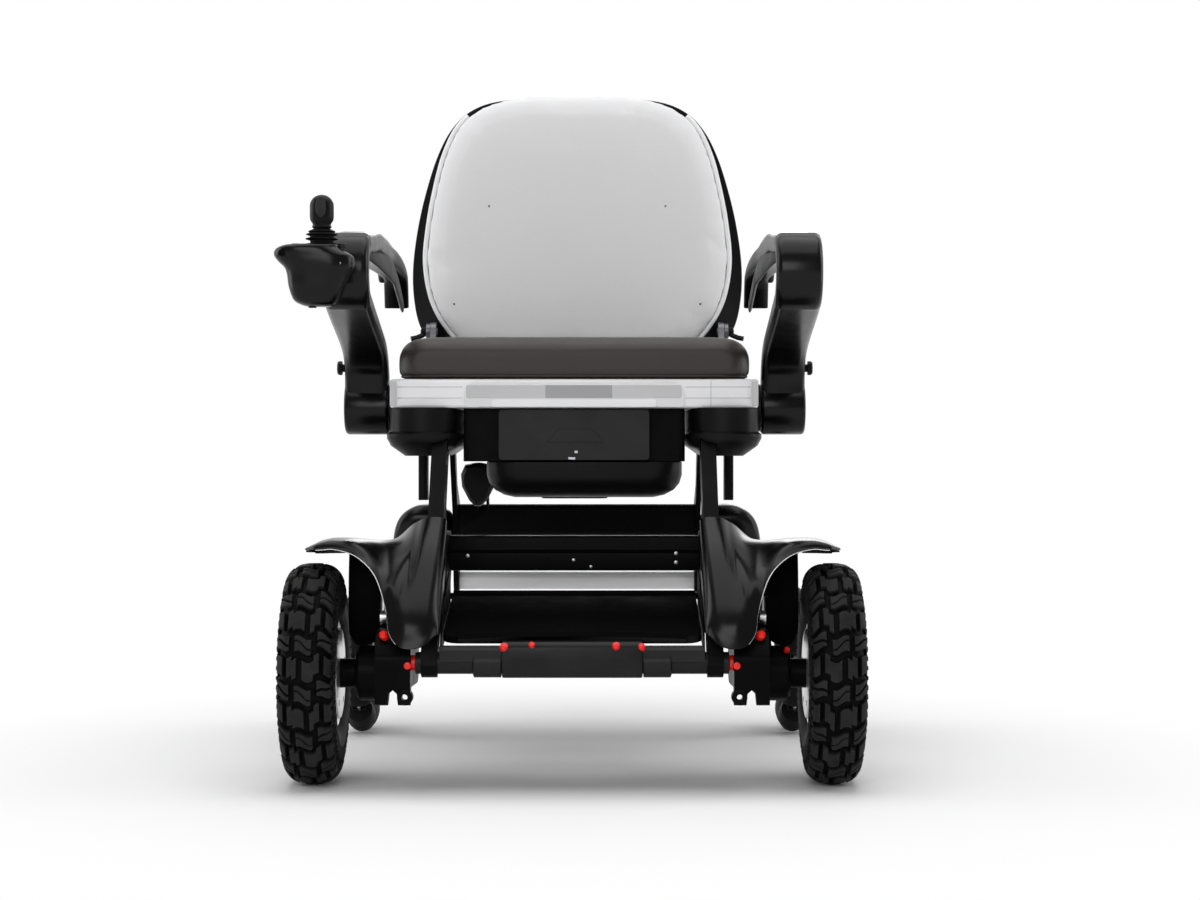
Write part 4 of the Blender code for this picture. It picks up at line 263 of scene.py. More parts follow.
# Kind and values of each look
FINISHES = {
    "white_paint": (painted, (0.88, 0.88, 0.90), 0.26),
    "panel_gloss": (painted, (0.78, 0.78, 0.79), 0.22, 0.5, 0.02),
    "band_gloss": (painted, (0.56, 0.56, 0.57), 0.20, 0.5, 0.02),
    "window_gloss": (painted, (0.36, 0.36, 0.37), 0.18, 0.5, 0.02),
    "seam_grey": (painted, (0.42, 0.42, 0.44), 0.40, 0.2, 0.02),
    "black_gloss": (moulded, (0.0022, 0.0022, 0.0025), 0.23, 0.20, 0.04, 0.25, False),
    "black_satin": (moulded, (0.0026, 0.0026, 0.0029), 0.36, 0.12, 0.10),
    "black_matte": (moulded, (0.002, 0.002, 0.0021), 0.62, 0.06, 0.14),
    "battery_grey": (moulded, (0.014, 0.014, 0.0145), 0.46, 0.16, 0.12),
    "frame_metal": (powder_coated, (0.0018, 0.0018, 0.002), 0.40, 0.045),
    "plate_black": (powder_coated, (0.0011, 0.0011, 0.0012), 0.66, 0.03),
    # painted reflection: near-white paint in place of the white that the silver cross tube mirrors
    "tube_painted_reflection": (painted, (0.93, 0.93, 0.94), 0.30, 0.3, 0.02),
    "bar_metal": (powder_coated, (0.012, 0.012, 0.0125), 0.36, 0.14),
    "silver_metal": (brushed, (0.90, 0.90, 0.92), 0.34, (0.04, 1, 1), 0.02),
    "rim_metal": (brushed, (0.92, 0.92, 0.93), 0.36, (1, 0.4, 0.4), 0.02),
    "zinc": (brushed, (0.50, 0.50, 0.53), 0.34, (1, 1, 1), 0.05),
    "dark_zinc": (brushed, (0.16, 0.16, 0.17), 0.36, (1, 1, 1), 0.05),
    "rubber": (moulded, (0.004, 0.004, 0.004), 0.60, 0.08, 0.20),
    "roller_rubber": (moulded, (0.006, 0.006, 0.006), 0.55, 0.10, 0.20),
    "tyre": (tyre_rubber,),
    "leather": (leather, (0.0165, 0.0116, 0.0102), (0.03, 0.0222, 0.0195)),
    "leather_seam": (leather, (0.012, 0.008, 0.007), (0.02, 0.014, 0.012)),
    "pad_mesh": (mesh_fabric, (0.815, 0.815, 0.825), (0.68, 0.68, 0.69), 0.0022),
    # white binding tape; the same white also draws a painted highlight along the fender rims
    "piping_and_painted_highlight": (woven, (0.90, 0.90, 0.91)),
    "red_plastic": (moulded, (0.78, 0.01, 0.006), 0.32, 0.4, 0.04, 0.10),
}
LOOKS = {}
for look_name, (kind, *values) in FINISHES.items():
    LOOKS[look_name], look_tree, look_shader = new_material(look_name)
    feed(look_tree, look_shader, kind(look_tree, surface_place(look_tree), *values))


# Outlines and meshes

def arc(u, v, radius, first, sweep, steps):
    """Points of an arc with both its ends, from an angle in degrees through a sweep."""
    angles = [math.radians(first + sweep * step / steps) for step in range(steps + 1)]
    return [(u + radius * math.cos(angle), v + radius * math.sin(angle)) for angle in angles]


def oval(count, half_u, half_v):
    turns = [math.tau * k / count for k in range(count)]
    return [(half_u * math.cos(turn), half_v * math.sin(turn)) for turn in turns]


def rounded(low_u, low_v, high_u, high_v, radius, steps):
    """Rectangle with rounded corners."""
    left, right, bottom, top = low_u + radius, high_u - radius, low_v + radius, high_v - radius
    return (arc(right, bottom, radius, -90, 90, steps) + arc(right, top, radius, 0, 90, steps)
            + arc(left, top, radius, 90, 90, steps) + arc(left, bottom, radius, 180, 90, steps))


def superellipse(x, y, z, half_x, half_y, power=2.7, count=56):
    return [(x + half_x * math.copysign(abs(c) ** (2 / power), c),
             y + half_y * math.copysign(abs(d) ** (2 / power), d), z) for c, d in oval(count, 1, 1)]


def smooth_curve(points, steps=4, ends=1):
    """Catmull-Rom curve through points of any dimension; its ends run on, or with ends 0 they stop."""
    points = [Vector(p) for p in points]
    before, after = (p * (1 + ends) - q * ends for p, q in (points[:2], points[:-3:-1]))
    points = [before, *points, after]
    curve = []
    for a, b, c, d in zip(points, points[1:], points[2:], points[3:]):
        for step in range(steps):
            f = step / steps
            curve.append(0.5 * (2 * b + (c - a) * f + (2 * a - 5 * b + 4 * c - d) * f * f
                                + (3 * b - a - 3 * c + d) * f ** 3))
    return curve + [points[-2]]


def calm_curve(points, steps=4):
    """Closed curve in a plane through points, whose bends never run past their neighbours."""
    points = [Vector(p) for p in points]
    following = points[1:] + points[:1]
    turns = [((point - points[i - 1]).normalized() + (after - point).normalized()).normalized()
             for i, (point, after) in enumerate(zip(points, following))]
    curve = []
    for first, second, leave, arrive in zip(points, following, turns, turns[1:] + turns[:1]):
        length = (second - first).length
        for step in range(steps):
            f = step / steps
            curve.append(first * (1 + 2 * f) * (1 - f) ** 2 + second * f * f * (3 - 2 * f)
                         + leave * length * f * (1 - f) ** 2 + arrive * length * f * f * (f - 1))
    return curve


def mesh_of(bm):
    bmesh.ops.recalc_face_normals(bm, faces=bm.faces)
    mesh = bpy.data.meshes.new("mesh")
    bm.to_mesh(mesh)
    bm.free()
    return mesh


def loft_mesh(rings, capped=True, closed=True, looped=False):
    """Skin through rings of equal point counts; looped joins the last ring to the first."""
    bm = bmesh.new()
    loops = [[bm.verts.new(point) for point in ring] for ring in rings]
    count = len(rings[0])
    for first, second in zip(loops, loops[1:] + loops[:1] * looped):
        for i in range(count if closed else count - 1):
            j = (i + 1) % count
            bm.faces.new((first[i], first[j], second[j], second[i]))
    if capped:
        bm.faces.new(loops[0])
        bm.faces.new(loops[-1])
    return mesh_of(bm)


def extruded(section, first, last):
    """Section of (y, z) points drawn out along X."""
    return loft_mesh([[(x, y, z) for y, z in section] for x in (first, last)])


def turned_mesh(profile, matrix, sides=64):
    """Profile of (radius, height) points turned about Z, then placed; a radius of 0 is one point."""
    bm = bmesh.new()
    rings = [[bm.verts.new((x, y, height)) for x, y in oval(sides if radius else 1, radius, radius)]
             for radius, height in profile]
    for first, second in zip(rings, rings[1:]):
        for i in range(sides):
            corners = [ring[k % len(ring)] for ring, k in ((first, i), (first, (i + 1) % sides),
                                                           (second, (i + 1) % sides), (second, i))]
            corners = list(dict.fromkeys(corners))
            if len(corners) > 2:
                bm.faces.new(corners)
    bmesh.ops.transform(bm, matrix=matrix, verts=bm.verts)
    return mesh_of(bm)


def tube_mesh(points, radius, sides=12, closed=False):
    """Round tube along points."""
    points = [Vector(p) for p in points]
    last = len(points) - 1
    rings, side = [], None
    for i, point in enumerate(points):
        after = points[(i + 1) % (last + 1) if closed else min(i + 1, last)]
        along = (after - points[i - 1 if closed else max(i - 1, 0)]).normalized()
        side = along.orthogonal() if side is None else side
        side = (side - along * side.dot(along)).normalized()
        up = along.cross(side)
        rings.append([point + side * u + up * v for u, v in oval(sides, radius, radius)])
    return loft_mesh(rings, capped=not closed, looped=closed)


def axis_x(x, y, z):
    """Stands a turned profile's own Z along the chair's X at a place."""
    turn = Matrix(((0, 0, 1, 0), (1, 0, 0, 0), (0, 1, 0, 0), (0, 0, 0, 1)))
    return Matrix.Translation((x, y, z)) @ turn


def along_axis(place, direction):
    """Stands a turned profile's own Z along any direction."""
    turn = Vector(direction).to_track_quat("Z", "Y").to_matrix().to_4x4()
    return Matrix.Translation(place) @ turn


def rod(radius, low, high):
    """Profile of a plain rod."""
    return (0, low), (radius, low), (radius, high), (0, high)


# Pieces

def in_scene(name, data):
    made = bpy.data.objects.new(name, data)
    bpy.context.scene.collection.objects.link(made)
    return made


def finish(mesh, look):
    mesh.materials.clear()
    mesh.materials.append(LOOKS[look])
    mesh.shade_smooth()


def joined(meshes):
    bm = bmesh.new()
    for mesh in meshes:
        bm.from_mesh(mesh)
    made = bpy.data.meshes.new("joined")
    bm.to_mesh(made)
    bm.free()
    return made


def piece(name, shape, look, body, smooth=35.0, replaces=()):
    """Visible piece of a mesh or a list of them: shaded, finished and carried by a body, if one is named."""
    mesh = joined(shape) if isinstance(shape, list) else shape
    made = in_scene(name, mesh)
    finish(mesh, look)
    if smooth is not None:
        mesh.set_sharp_from_angle(angle=math.radians(smooth))
    if body:
        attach(made, body)
    if replaces:
        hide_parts(*replaces)
    return made


def bevel(made, width, angle=30.0):
    modifier = made.modifiers.new("edges", "BEVEL")
    modifier.width = width
    modifier.segments = 2
    modifier.limit_method = "ANGLE"
    modifier.angle_limit = math.radians(angle)
    modifier.harden_normals = True


def walled(made, thickness, edge):
    """Gives a skin a wall with eased edges."""
    wall = made.modifiers.new("wall", "SOLIDIFY")
    wall.thickness = thickness
    wall.offset = 0
    bevel(made, edge, 50)


# Looks of the solids, each with its solids' edge radii in millimetres; 0 leaves the edges alone
CARRIED = {
    "white_paint": {"seat_frame": 2.0}, "panel_gloss": {"seat_front_panel": 1.0},
    "black_matte": {"seat_pan": 0.6, "underseat_housing": 0.8, "rear_crossbar": 1.0},
    "black_satin": {"side_housing": 1.2, "control_pod": 1.0, "arm_hinge": 1.0, "rear_arm": 1.0,
                    "fold_motor": 0.8, "recline_lever": 0.5, "arm_lock_knob": 0.4, "joystick_stick": 0.6},
    "black_gloss": {"fender_shroud": 0, "armrest": 0, "joystick_pod": 1.0, "back_shell": 1.0},
    "battery_grey": {"battery_pack": 0.8, "power_button": 0.3, "speed_button": 0.3},
    "frame_metal": {"front_leg": 1.0, "front_crossbeam": 1.0, "swing_arm": 2.2, "drive_motor": 0.8,
                    "shock_body": 0.5, "rear_leg": 0.8},
    "bar_metal": {"pivot_tube": 0.6, "bumper_sleeve": 0.6}, "plate_black": {"footplate": 1.0},
    "silver_metal": {"shock_rod": 0.3, "fold_rod": 0.4}, "dark_zinc": {"back_hinge": 0.8},
    # the cross tube's near-white is a painted reflection
    "tube_painted_reflection": {"rear_cross_tube": 0.4}, "red_plastic": {"pivot_bushing": 0.4},
    "rubber": {"push_handle": 0, "joystick_boot": 0.4}, "roller_rubber": {"omni_wheel": 0.4},
    "rim_metal": {"front_rim": 0.4}, "tyre": {"front_tyre": 0.6}, "leather": {"seat_cushion": 0},
    "pad_mesh": {"back_pad": 0},
}


def dress_solids():
    """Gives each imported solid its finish, welded and with its edges softened."""
    carried = {name: (look, edge) for look, edges in CARRIED.items() for name, edge in edges.items()}
    for name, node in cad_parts.items():
        look, edge = carried[name.removesuffix("_left").removesuffix("_right")]
        finish(node.data, look)
        if "custom_normal" in node.data.attributes:
            node.data.attributes.remove(node.data.attributes["custom_normal"])
        node.modifiers.new("weld", "WELD").merge_threshold = 0.00002
        if edge:
            bevel(node, edge / 1000, 32.0)


# Drive wheels

# Pitches of the tread round the tyre, rows of points in each, its length, and the side knobs in it
PITCHES = 14
ROWS_PER_PITCH = 54
PITCH = 0.057
KNOBS = 4
GROOVE_DEPTH = 0.0056
CARCASS = mm((0, 127), (10, 126.5), (20, 123.4), (27.5, 117), (31.2, 108.5), (32.5, 98), (32.8, 88),
             (31.8, 76), (29, 68), (25.2, 63.2))


def groove(distance, half, edge=0.001):
    """1 in the middle of a groove of this half width, 0 on the lugs beside it, with a short flank."""
    return max(0.0, min(1.0, (half + edge - distance) / edge))


def knob_groove(turn, edge):
    """Groove between two side knobs."""
    return groove(abs((turn * KNOBS + 0.2) % 1.0 - 0.5) * PITCH / KNOBS, 0.0026, edge)


def tread_depth(u, turn):
    """Depth of the tread pattern at a place across and round the tyre; turn counts pitches."""
    across = abs(u)
    if across > 0.0305:
        return 0.95 * knob_groove(turn, 0.0006)
    bend = 0.05 * math.sin(u * 260) + (0.10 if across > 0.0125 else 0.0)
    cuts = [groove(abs((turn % 1.0 - centre - bend + 0.5) % 1.0 - 0.5) * PITCH, 0.0034, 0.0012)
            for centre in (0.02, 0.48)]
    row = (turn % 1.0 - 0.02 - bend) % 1.0
    if row >= 0.46:
        middle = -0.004 if int(turn) % 2 else 0.004
        cuts += [groove(abs(u - middle), 0.0023), groove(abs(across - 0.0205), 0.0018)]
    else:
        cuts.append(groove(abs(across - 0.0125), 0.0025))
        if across < 0.0085:
            cuts.append(0.45 * groove(abs(row - 0.23 - 9.0 * u + 300.0 * u * across) * PITCH, 0.0004, 0.0008))
        elif across > 0.015:
            cuts.append(0.8 * groove(abs(row - 0.16 - (across - 0.015) * 9.0) * PITCH, 0.0008, 0.0008))
    return max(cuts)


def tyre_section():
    """Outer section of the tyre from bead to bead: across, radius, and share of the tread's depth."""
    half = [tuple(p) for p in smooth_curve(CARCASS, 12)]
    section = [(-u, r) for u, r in reversed(half[1:])] + half
    return [(u, r, max(0.0, min(1.0, (r - 0.099) / 0.007))) for u, r in section]


def make_tyre(side, s):
    section = tyre_section()
    count = PITCHES * ROWS_PER_PITCH
    centre = Vector((s * TYRE_X, AXLE_Y, TYRE_RADIUS))
    rings, lugs = [], []
    for row in range(count):
        turn = row / ROWS_PER_PITCH
        angle = math.tau * row / count
        out = Vector((0, math.sin(angle), math.cos(angle)))
        ring = []
        for u, r, share in section:
            cut = tread_depth(s * u, turn)
            # lug share: 1 on the lugs, less in the grooves; the tyre material turns it into painted shade in
            # the grooves
            lugs.append(1 - cut * min(1.0, share + 0.3))
            depth = GROOVE_DEPTH * share * cut
            flank = min(1.0, abs(u) / 0.034) ** 3
            knob = 0.0024 * max(0.0, min(1.0, (r - 0.084) / 0.003, (0.113 - r) / 0.004))
            knob *= 1 - knob_groove(turn, 0.0012)
            out_u = u - math.copysign(depth * flank * 0.5 - knob, u)
            ring.append(centre + Vector((out_u, 0, 0)) + out * (r - depth))
        rings.append(ring)
    mesh = loft_mesh(rings, False, False, True)
    mesh.attributes.new("lug", "FLOAT", "POINT").data.foreach_set("value", lugs)
    piece("tyre_" + side, mesh, "tyre", "front_wheel_" + side, 40.0, ("front_tyre_" + side,))


RIM_PROFILE = mm((17.2, -30), (48.5, -30.5), (51.2, -30), (52.4, -28.4), (52.6, -19), (54.8, -18.6),
                 (56.2, -21.5), (58.5, -25.2), (60.6, -26.2), (62.2, -25), (62.4, -23.5), (62.4, 24),
                 (60, 28.5), (57, 28), (54.5, 24), (52, 19), (36, 14.5), (30, 14), (27, 23), (24.5, 25.2),
                 (20, 26.8), (12, 27.2), (0, 27.2))
# Rim bolts, outer and inner: profile, place along the axle, radius of their circle and way they face
RIM_BOLTS = ((((0, 0.004), (0.0022, 0.004), (0.0026, 0.0032), (0.0044, 0.003), (0.0048, 0.0022),
               (0.0048, -0.001)), 0.015, 0.042, 1),
             (((0, 0.0007), (0.003, 0.0007), (0.0036, 0.0002), (0.0036, -0.001)), -0.0303, 0.04, -1))


def make_rim(side, s):
    body = "front_wheel_" + side
    rim = turned_mesh([(r, s * x) for r, x in RIM_PROFILE], axis_x(s * TYRE_X, AXLE_Y, TYRE_RADIUS), 96)
    piece("rim_" + side, rim, "rim_metal", body, 30.0, ("front_rim_" + side,))
    bolts = []
    for k in range(5):
        out = Vector((0, math.sin(math.tau * k / 5), math.cos(math.tau * k / 5)))
        for profile, x, radius, way in RIM_BOLTS:
            at = Vector((s * (TYRE_X + x), AXLE_Y, TYRE_RADIUS)) + out * radius
            bolts.append(turned_mesh(profile, along_axis(at, (way * s, 0, 0)), 18))
    piece("rim_bolts_" + side, bolts, "zinc", body)


# Omni wheels

ROLLERS = 8
ROLLER_RADIUS = 0.02
ROLLER_HALF = 0.0235
HALF_HUB = mm((8.6, 13.5), (15, 14), (17, 11.8), (43, 11.8), (45, 13.8), (51.2, 13.8), (51.8, 13))


def around(angle):
    """Ways out from the axle and on round it at an angle."""
    out = Vector((0, math.cos(angle), math.sin(angle)))
    return out, Vector((0, -out.z, out.y))


def make_omni(side, s):
    centre = Vector((s * OMNI_CENTRE.x, OMNI_CENTRE.y, OMNI_CENTRE.z))
    ring = OMNI_CENTRE.z - ROLLER_RADIUS
    sector = math.tau / ROLLERS
    reach = ring * math.tan(sector / 2) - 0.0006
    profile = [(0.0036, -ROLLER_HALF)]
    for step in range(13):
        along = ROLLER_HALF * (2 * step / 12 - 1)
        radius = math.sqrt(OMNI_CENTRE.z ** 2 - along ** 2) - ring
        profile.append((radius - (0.0005 if step in (4, 8) else 0.0), along))
    profile.append((0.0036, ROLLER_HALF))
    barrels, pins = [], []
    for k in range(ROLLERS):
        out, turn = around((k + 0.5) * sector)
        matrix = along_axis(centre + out * ring, turn)
        barrels.append(turned_mesh(profile, matrix, 32))
        pins.append(turned_mesh(rod(0.0032, -reach, reach), matrix, 16))
    body = "rear_wheel_" + side
    piece("omni_rollers_" + side, barrels, "roller_rubber", body, 40.0,
          ("omni_wheel_" + side,))
    piece("omni_pins_" + side, pins, "zinc", body)
    hub = [(r, -x) for r, x in HALF_HUB] + list(HALF_HUB[::-1])
    parts = [turned_mesh(hub + hub[:1], axis_x(*centre), 72)]
    tip = ring / math.cos(sector / 2) + 0.0044
    fork = ((0.05, 0.0045, 0.005), (0.058, 0.0018, 0.0046), (tip - 0.004, 0.0017, 0.0042),
            (tip, 0.0014, 0.0028))
    for k in range(ROLLERS):
        out, turn = around(k * sector)
        for x in (-0.0055, 0.0055):
            parts.append(loft_mesh([[centre + out * radius + turn * a * wide + Vector((x + b * thick, 0, 0))
                                     for a, b in ((-1, -1), (1, -1), (1, 1), (-1, 1))]
                                    for radius, wide, thick in fork]))
    bevel(piece("omni_hub_" + side, parts, "black_satin", body, 30.0), 0.0005)


# Backrest: outlines as (height, half width) from the bottom up, ends of the binding, tacks and hinge

SHELL_OUTLINE = mm((499.8, 0), (500, 150), (508, 176), (521, 194), (535, 205.5), (555, 216.6), (590, 224),
                   (631, 225.4), (687, 218.6), (740, 206.4), (789, 190.2), (820, 174), (842, 154),
                   (856.5, 126.5), (863.5, 85), (864.2, 0))
PAD_OUTLINE = mm((513.8, 0), (514, 120), (519, 142), (527, 156), (539, 168), (564, 186), (592, 198.5),
                 (640, 206.2), (690, 202), (739, 193), (789, 179.5), (826, 161), (846, 139.5), (858, 114.5),
                 (865.2, 79), (866.4, 0))
PIPING = mm(528, 842)
TACKS = mm((-120, 715), (120, 715), (-167.5, 582), (167.5, 582))
BACK_HINGE = (0.203, behind(0.53), 0.545)


def closed_outline(half, steps=6):
    """Smooth closed outline (x, z) from one side's (height, half width) points, bottom to top."""
    side = [(x, z) for z, x in half]
    return [tuple(p) for p in calm_curve(side + [(-x, z) for x, z in reversed(side[1:-1])], steps)]


def outline_ring(outline, inset, y):
    """Outline at a depth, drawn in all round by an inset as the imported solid's rings are."""
    widest = max(x for x, z in outline)
    low, high = min(z for x, z in outline), max(z for x, z in outline)
    middle = (low + high) / 2
    scale_x, scale_z = 1 - inset / widest, 1 - inset / (high - middle)
    return [(x * scale_x, y, middle + (z - middle) * scale_z) for x, z in outline]


def make_back_shell():
    outline = closed_outline(SHELL_OUTLINE)
    front = PAD_HIGH.y + 0.0003
    levels = [(0.0022, 0.0), (0.0006, 0.02), (0.0, 0.06), (0.0, 0.30)]
    levels += smooth_curve([(0.0, 0.32), (0.01, 0.57), (0.032, 0.82), (0.072, 1.0)], 6)
    rings = [outline_ring(outline, inset, front + (SHELL_BACK - front) * share) for inset, share in levels]
    piece("backrest_shell", loft_mesh(rings), "black_gloss", "backrest", 40.0,
          ("back_shell",))
    x, y, z = BACK_HINGE
    lug = arc(y, z, 0.0115, 90, 180, 16) + [(behind(0.55), 0.5335), (behind(0.55), 0.5565)]
    parts = []
    for s in (-1, 1):
        parts.append(extruded(lug, s * x - 0.00275, s * x + 0.00275))
        for inner, outer, radius in ((0.1905, 0.2038, 0.005), (0.2048, 0.2138, 0.003)):
            profile = ((0, inner), (radius * 0.8, inner), (radius, inner + 0.0006), (radius, outer - 0.0006),
                       (radius * 0.8, outer), (0, outer))
            parts.append(turned_mesh([(r, s * along) for r, along in profile], axis_x(0, y, z), 24))
    bevel(piece("backrest_lugs", parts, "dark_zinc", "backrest"), 0.0006)


# Remesh of a soft form, pressure in it as cloth, and the frames that the cloth runs for
VOXEL = 0.005
PRESSURE = 4.0
CLOTH_FRAMES = 20


def evaluated(made):
    """Mesh of an object with its modifiers, which are then removed."""
    mesh = bpy.data.meshes.new_from_object(made.evaluated_get(bpy.context.evaluated_depsgraph_get()))
    made.modifiers.clear()
    return mesh


def simulated(form, cap, free):
    """Cloth pressure swells a form, up to a cap; free is each axis's share of the move, as seams hold it."""
    guide = in_scene("form", form)
    remesh = guide.modifiers.new("remesh", "REMESH")
    remesh.mode = "VOXEL"
    remesh.voxel_size = VOXEL
    bpy.context.view_layer.update()
    skin = guide.data = evaluated(guide)
    start = [vert.co.copy() for vert in skin.vertices]
    cloth = guide.modifiers.new("cloth", "CLOTH")
    cloth.settings.use_pressure = True
    cloth.settings.uniform_pressure_force = PRESSURE
    cloth.settings.effector_weights.gravity = 0.0
    cloth.settings.quality = 6
    cloth.settings.mass = 0.3
    cloth.point_cache.frame_start = 1
    cloth.point_cache.frame_end = CLOTH_FRAMES
    for step in range(1, CLOTH_FRAMES + 1):
        bpy.context.scene.frame_set(step)
    skin = evaluated(guide)
    for vert, rest in zip(skin.vertices, start):
        move = vert.co - rest
        if move.length > cap:
            move = move.normalized() * cap
        vert.co = rest + Vector(m * share for m, share in zip(move, free))
    bpy.context.scene.frame_set(1)
    bpy.data.objects.remove(guide)
    return skin


def soft_piece(name, mesh, look, body, node):
    made = piece(name, mesh, look, body, None, (node,))
    fine = made.modifiers.new("fine", "SUBSURF")
    fine.levels = 1
    fine.render_levels = 1


def clamp_mesh(mesh, low, high):
    for vert in mesh.vertices:
        vert.co = [min(max(value, least), most) for value, least, most in zip(vert.co, low, high)]


def make_back_pad():
    """Stretched mesh over foam, bound along its sides, with four small tacks."""
    outline = closed_outline(PAD_OUTLINE)
    rear = PAD_HIGH.y - 0.0002
    depth = rear - (PAD_LOW.y + 0.0012)
    levels = ((0.006, 0.0), (0.0018, 0.10), (0.0005, 0.22), (0.0012, 0.42), (0.0042, 0.60), (0.011, 0.77),
              (0.026, 0.90), (0.052, 0.96), (0.09, 1.0))
    rings = [outline_ring(outline, inset, rear - depth * share) for inset, share in levels]
    skin = simulated(loft_mesh(rings), 0.0035, (0.10, 1.0, 0.10))
    clamp_mesh(skin, (-1, PAD_LOW.y - 0.002, PAD_LOW.z - 0.001), (1, rear, PAD_HIGH.z + 0.001))
    make_tacks(skin)
    soft_piece("backrest_pad", skin, "pad_mesh", "backrest", "back_pad")
    parts = []
    for s in (-1, 1):
        edge = [(x, z) for x, z in outline if s * x > 0.1 and PIPING[0] < z < PIPING[1]]
        edge.sort(key=lambda point: point[1])
        parts.append(tube_mesh([(x + s * 0.0018, PAD_HIGH.y - 0.004, z) for x, z in edge], 0.0034))
    piece("pad_binding", parts, "piping_and_painted_highlight", "backrest", None)


def make_tacks(skin):
    """Small tacks on the skin's own front, with the skin drawn in round each."""
    front = [vert for vert in skin.vertices if vert.co.y <= PAD_HIGH.y - 0.01]
    for vert in front:
        for x, z in TACKS:
            away = math.hypot(vert.co.x - x, vert.co.z - z)
            vert.co.y += 0.0008 * math.exp(-(away / 0.006) ** 2)
    tacks = []
    for x, z in TACKS:
        y = min(front, key=lambda vert: math.hypot(vert.co.x - x, vert.co.z - z)).co.y
        tacks.append(turned_mesh(((0, 0.0008), (0.0009, 0.0006), (0.0014, 0.0), (0.0014, -0.004)),
                                 along_axis((x, y, z), (0, -1, 0)), 16))
    piece("pad_tacks", tacks, "battery_grey", "backrest")


# Seat cushion: how much its form is drawn larger, against what remesh and subdivision take off; its corners
CUSHION_SWELL = 0.0054
CUSHION_CORNER = 0.03
CORNER_STEPS = 10
SIDE_STEPS = 12


def cushion_ring(inset, height, draw=0.0):
    """Plan outline of the cushion at a height, with sides that pull in between the corners."""
    half_x, half_y = ((high - low) / 2 - inset for low, high in zip(CUSHION_LOW.xy, CUSHION_HIGH.xy))
    middle_y = (CUSHION_HIGH.y + CUSHION_LOW.y) / 2
    corner = max(CUSHION_CORNER - inset * 0.5, 0.008)
    corners = rounded(-half_x, -half_y, half_x, half_y, corner, CORNER_STEPS)
    ring = []
    for i, start in enumerate(corners):
        ring.append(Vector(start))
        if i % (CORNER_STEPS + 1) == CORNER_STEPS:
            end = Vector(corners[(i + 1) % len(corners)])
            ring += [Vector(start).lerp(end, step / SIDE_STEPS) for step in range(1, SIDE_STEPS)]
    result = []
    for x, y in ring:
        across, along = abs(x) / half_x, abs(y) / half_y
        pull = draw * (1 - min(1.0, across, along) ** 4)
        if across >= along:
            x *= 1 - pull / half_x
        else:
            y *= 1 - pull / half_y
        result.append((x, middle_y + y, height))
    return result


def make_cushion():
    low, high = CUSHION_LOW.z, CUSHION_HIGH.z
    levels = mm((10, 0.4, 0), (4.5, 1.8, 0), (1.5, 5.5, 0.5), (0.4, 12, 1), (0.4, 20, 1), (1.2, 27, 1),
                (3.4, 33.5, 0.5), (7.4, 39.2, 0), (13, 43.6, 0), (21, 46.2, 0), (34, 47.8, 0), (65, 49, 0),
                (115, 50, 0), (170, 50.4, 0))
    rings = [cushion_ring(inset - CUSHION_SWELL, low + up, draw) for inset, up, draw in levels]
    skin = simulated(loft_mesh(rings), 0.003, (0.10, 0.10, 1.0))
    clamp_mesh(skin, (CUSHION_LOW.x - 0.004, CUSHION_LOW.y - 0.002, low),
               (CUSHION_HIGH.x + 0.004, CUSHION_HIGH.y + 0.002, high + 0.002))
    soft_piece("cushion", skin, "leather", "seat", "seat_cushion")
    welt = tube_mesh(cushion_ring(-0.0006, low + 0.003), 0.0014, 10, closed=True)
    piece("cushion_welt", welt, "leather_seam", "seat", None)


# Covers over the legs: columns of (x, depth, height) from the fender's rim in, and the arch's inner wall

SHROUD_COLUMNS = mm(((304, -34, 270), (305, -26, 271.2), (305, 26, 270.8), (304, 60, 264.5)),
                    ((295, -47, 270.4), (295, -36, 275.2), (295, 26, 275.2), (295, 73, 264)),
                    ((286, -50, 270.8), (286, -38, 278.5), (286, 25, 278.5), (286, 75, 264.2)),
                    ((270, -52, 271.5), (270, -40, 280.5), (270, 24, 280.5), (270, 75, 264.5)),
                    ((245, -60, 264), (241.5, -42, 276.5), (239, 22, 279.5), (237, 75, 266.5)),
                    ((222.5, -74, 243), (218, -50, 256), (212, 0, 277), (208, 55, 279)),
                    ((208.5, -90, 206), (199, -80, 231), (191, -30, 270), (187, 22, 296)),
                    ((203.5, -101, 179), (191.5, -92, 212), (182, -40, 266), (178.5, 12, 301)),
                    ((189, -109, 164), (180, -100, 200), (173, -50, 262), (170, 3, 305)),
                    ((166, -110, 166), (160, -94, 203), (156, -48, 261), (156, 2, 306)),
                    ((151.5, -104, 179), (149, -78, 206), (148, -34, 260), (148, 8, 303)),
                    ((148, -82, 180), (148, -52, 208), (148, -12, 257), (148, 24, 296)))
LINER = mm((172, 286, 225, 34), (190, 280, 196, 38), (208, 275, 184, 41), (224, 272, 166, 45),
           (240, 270.5, 156, 46), (254, 269.5, 156, 46), (262.8, 269, 170, 46))
COVER_STEPS = 7


def make_liner(side, s):
    """Inner wall of the wheel arch, hung from the fender behind the shock absorber."""
    columns = [[(s * x, behind(depth - 0.01 * math.sin(math.pi * f)), high + (low - high) * f)
                for f in (step / 8 for step in range(9))] for x, high, low, depth in smooth_curve(LINER)]
    liner = piece("arch_liner_" + side, loft_mesh(columns, False, False), "black_matte", "front_frame",
                  50.0)
    walled(liner, 0.002, 0.0006)


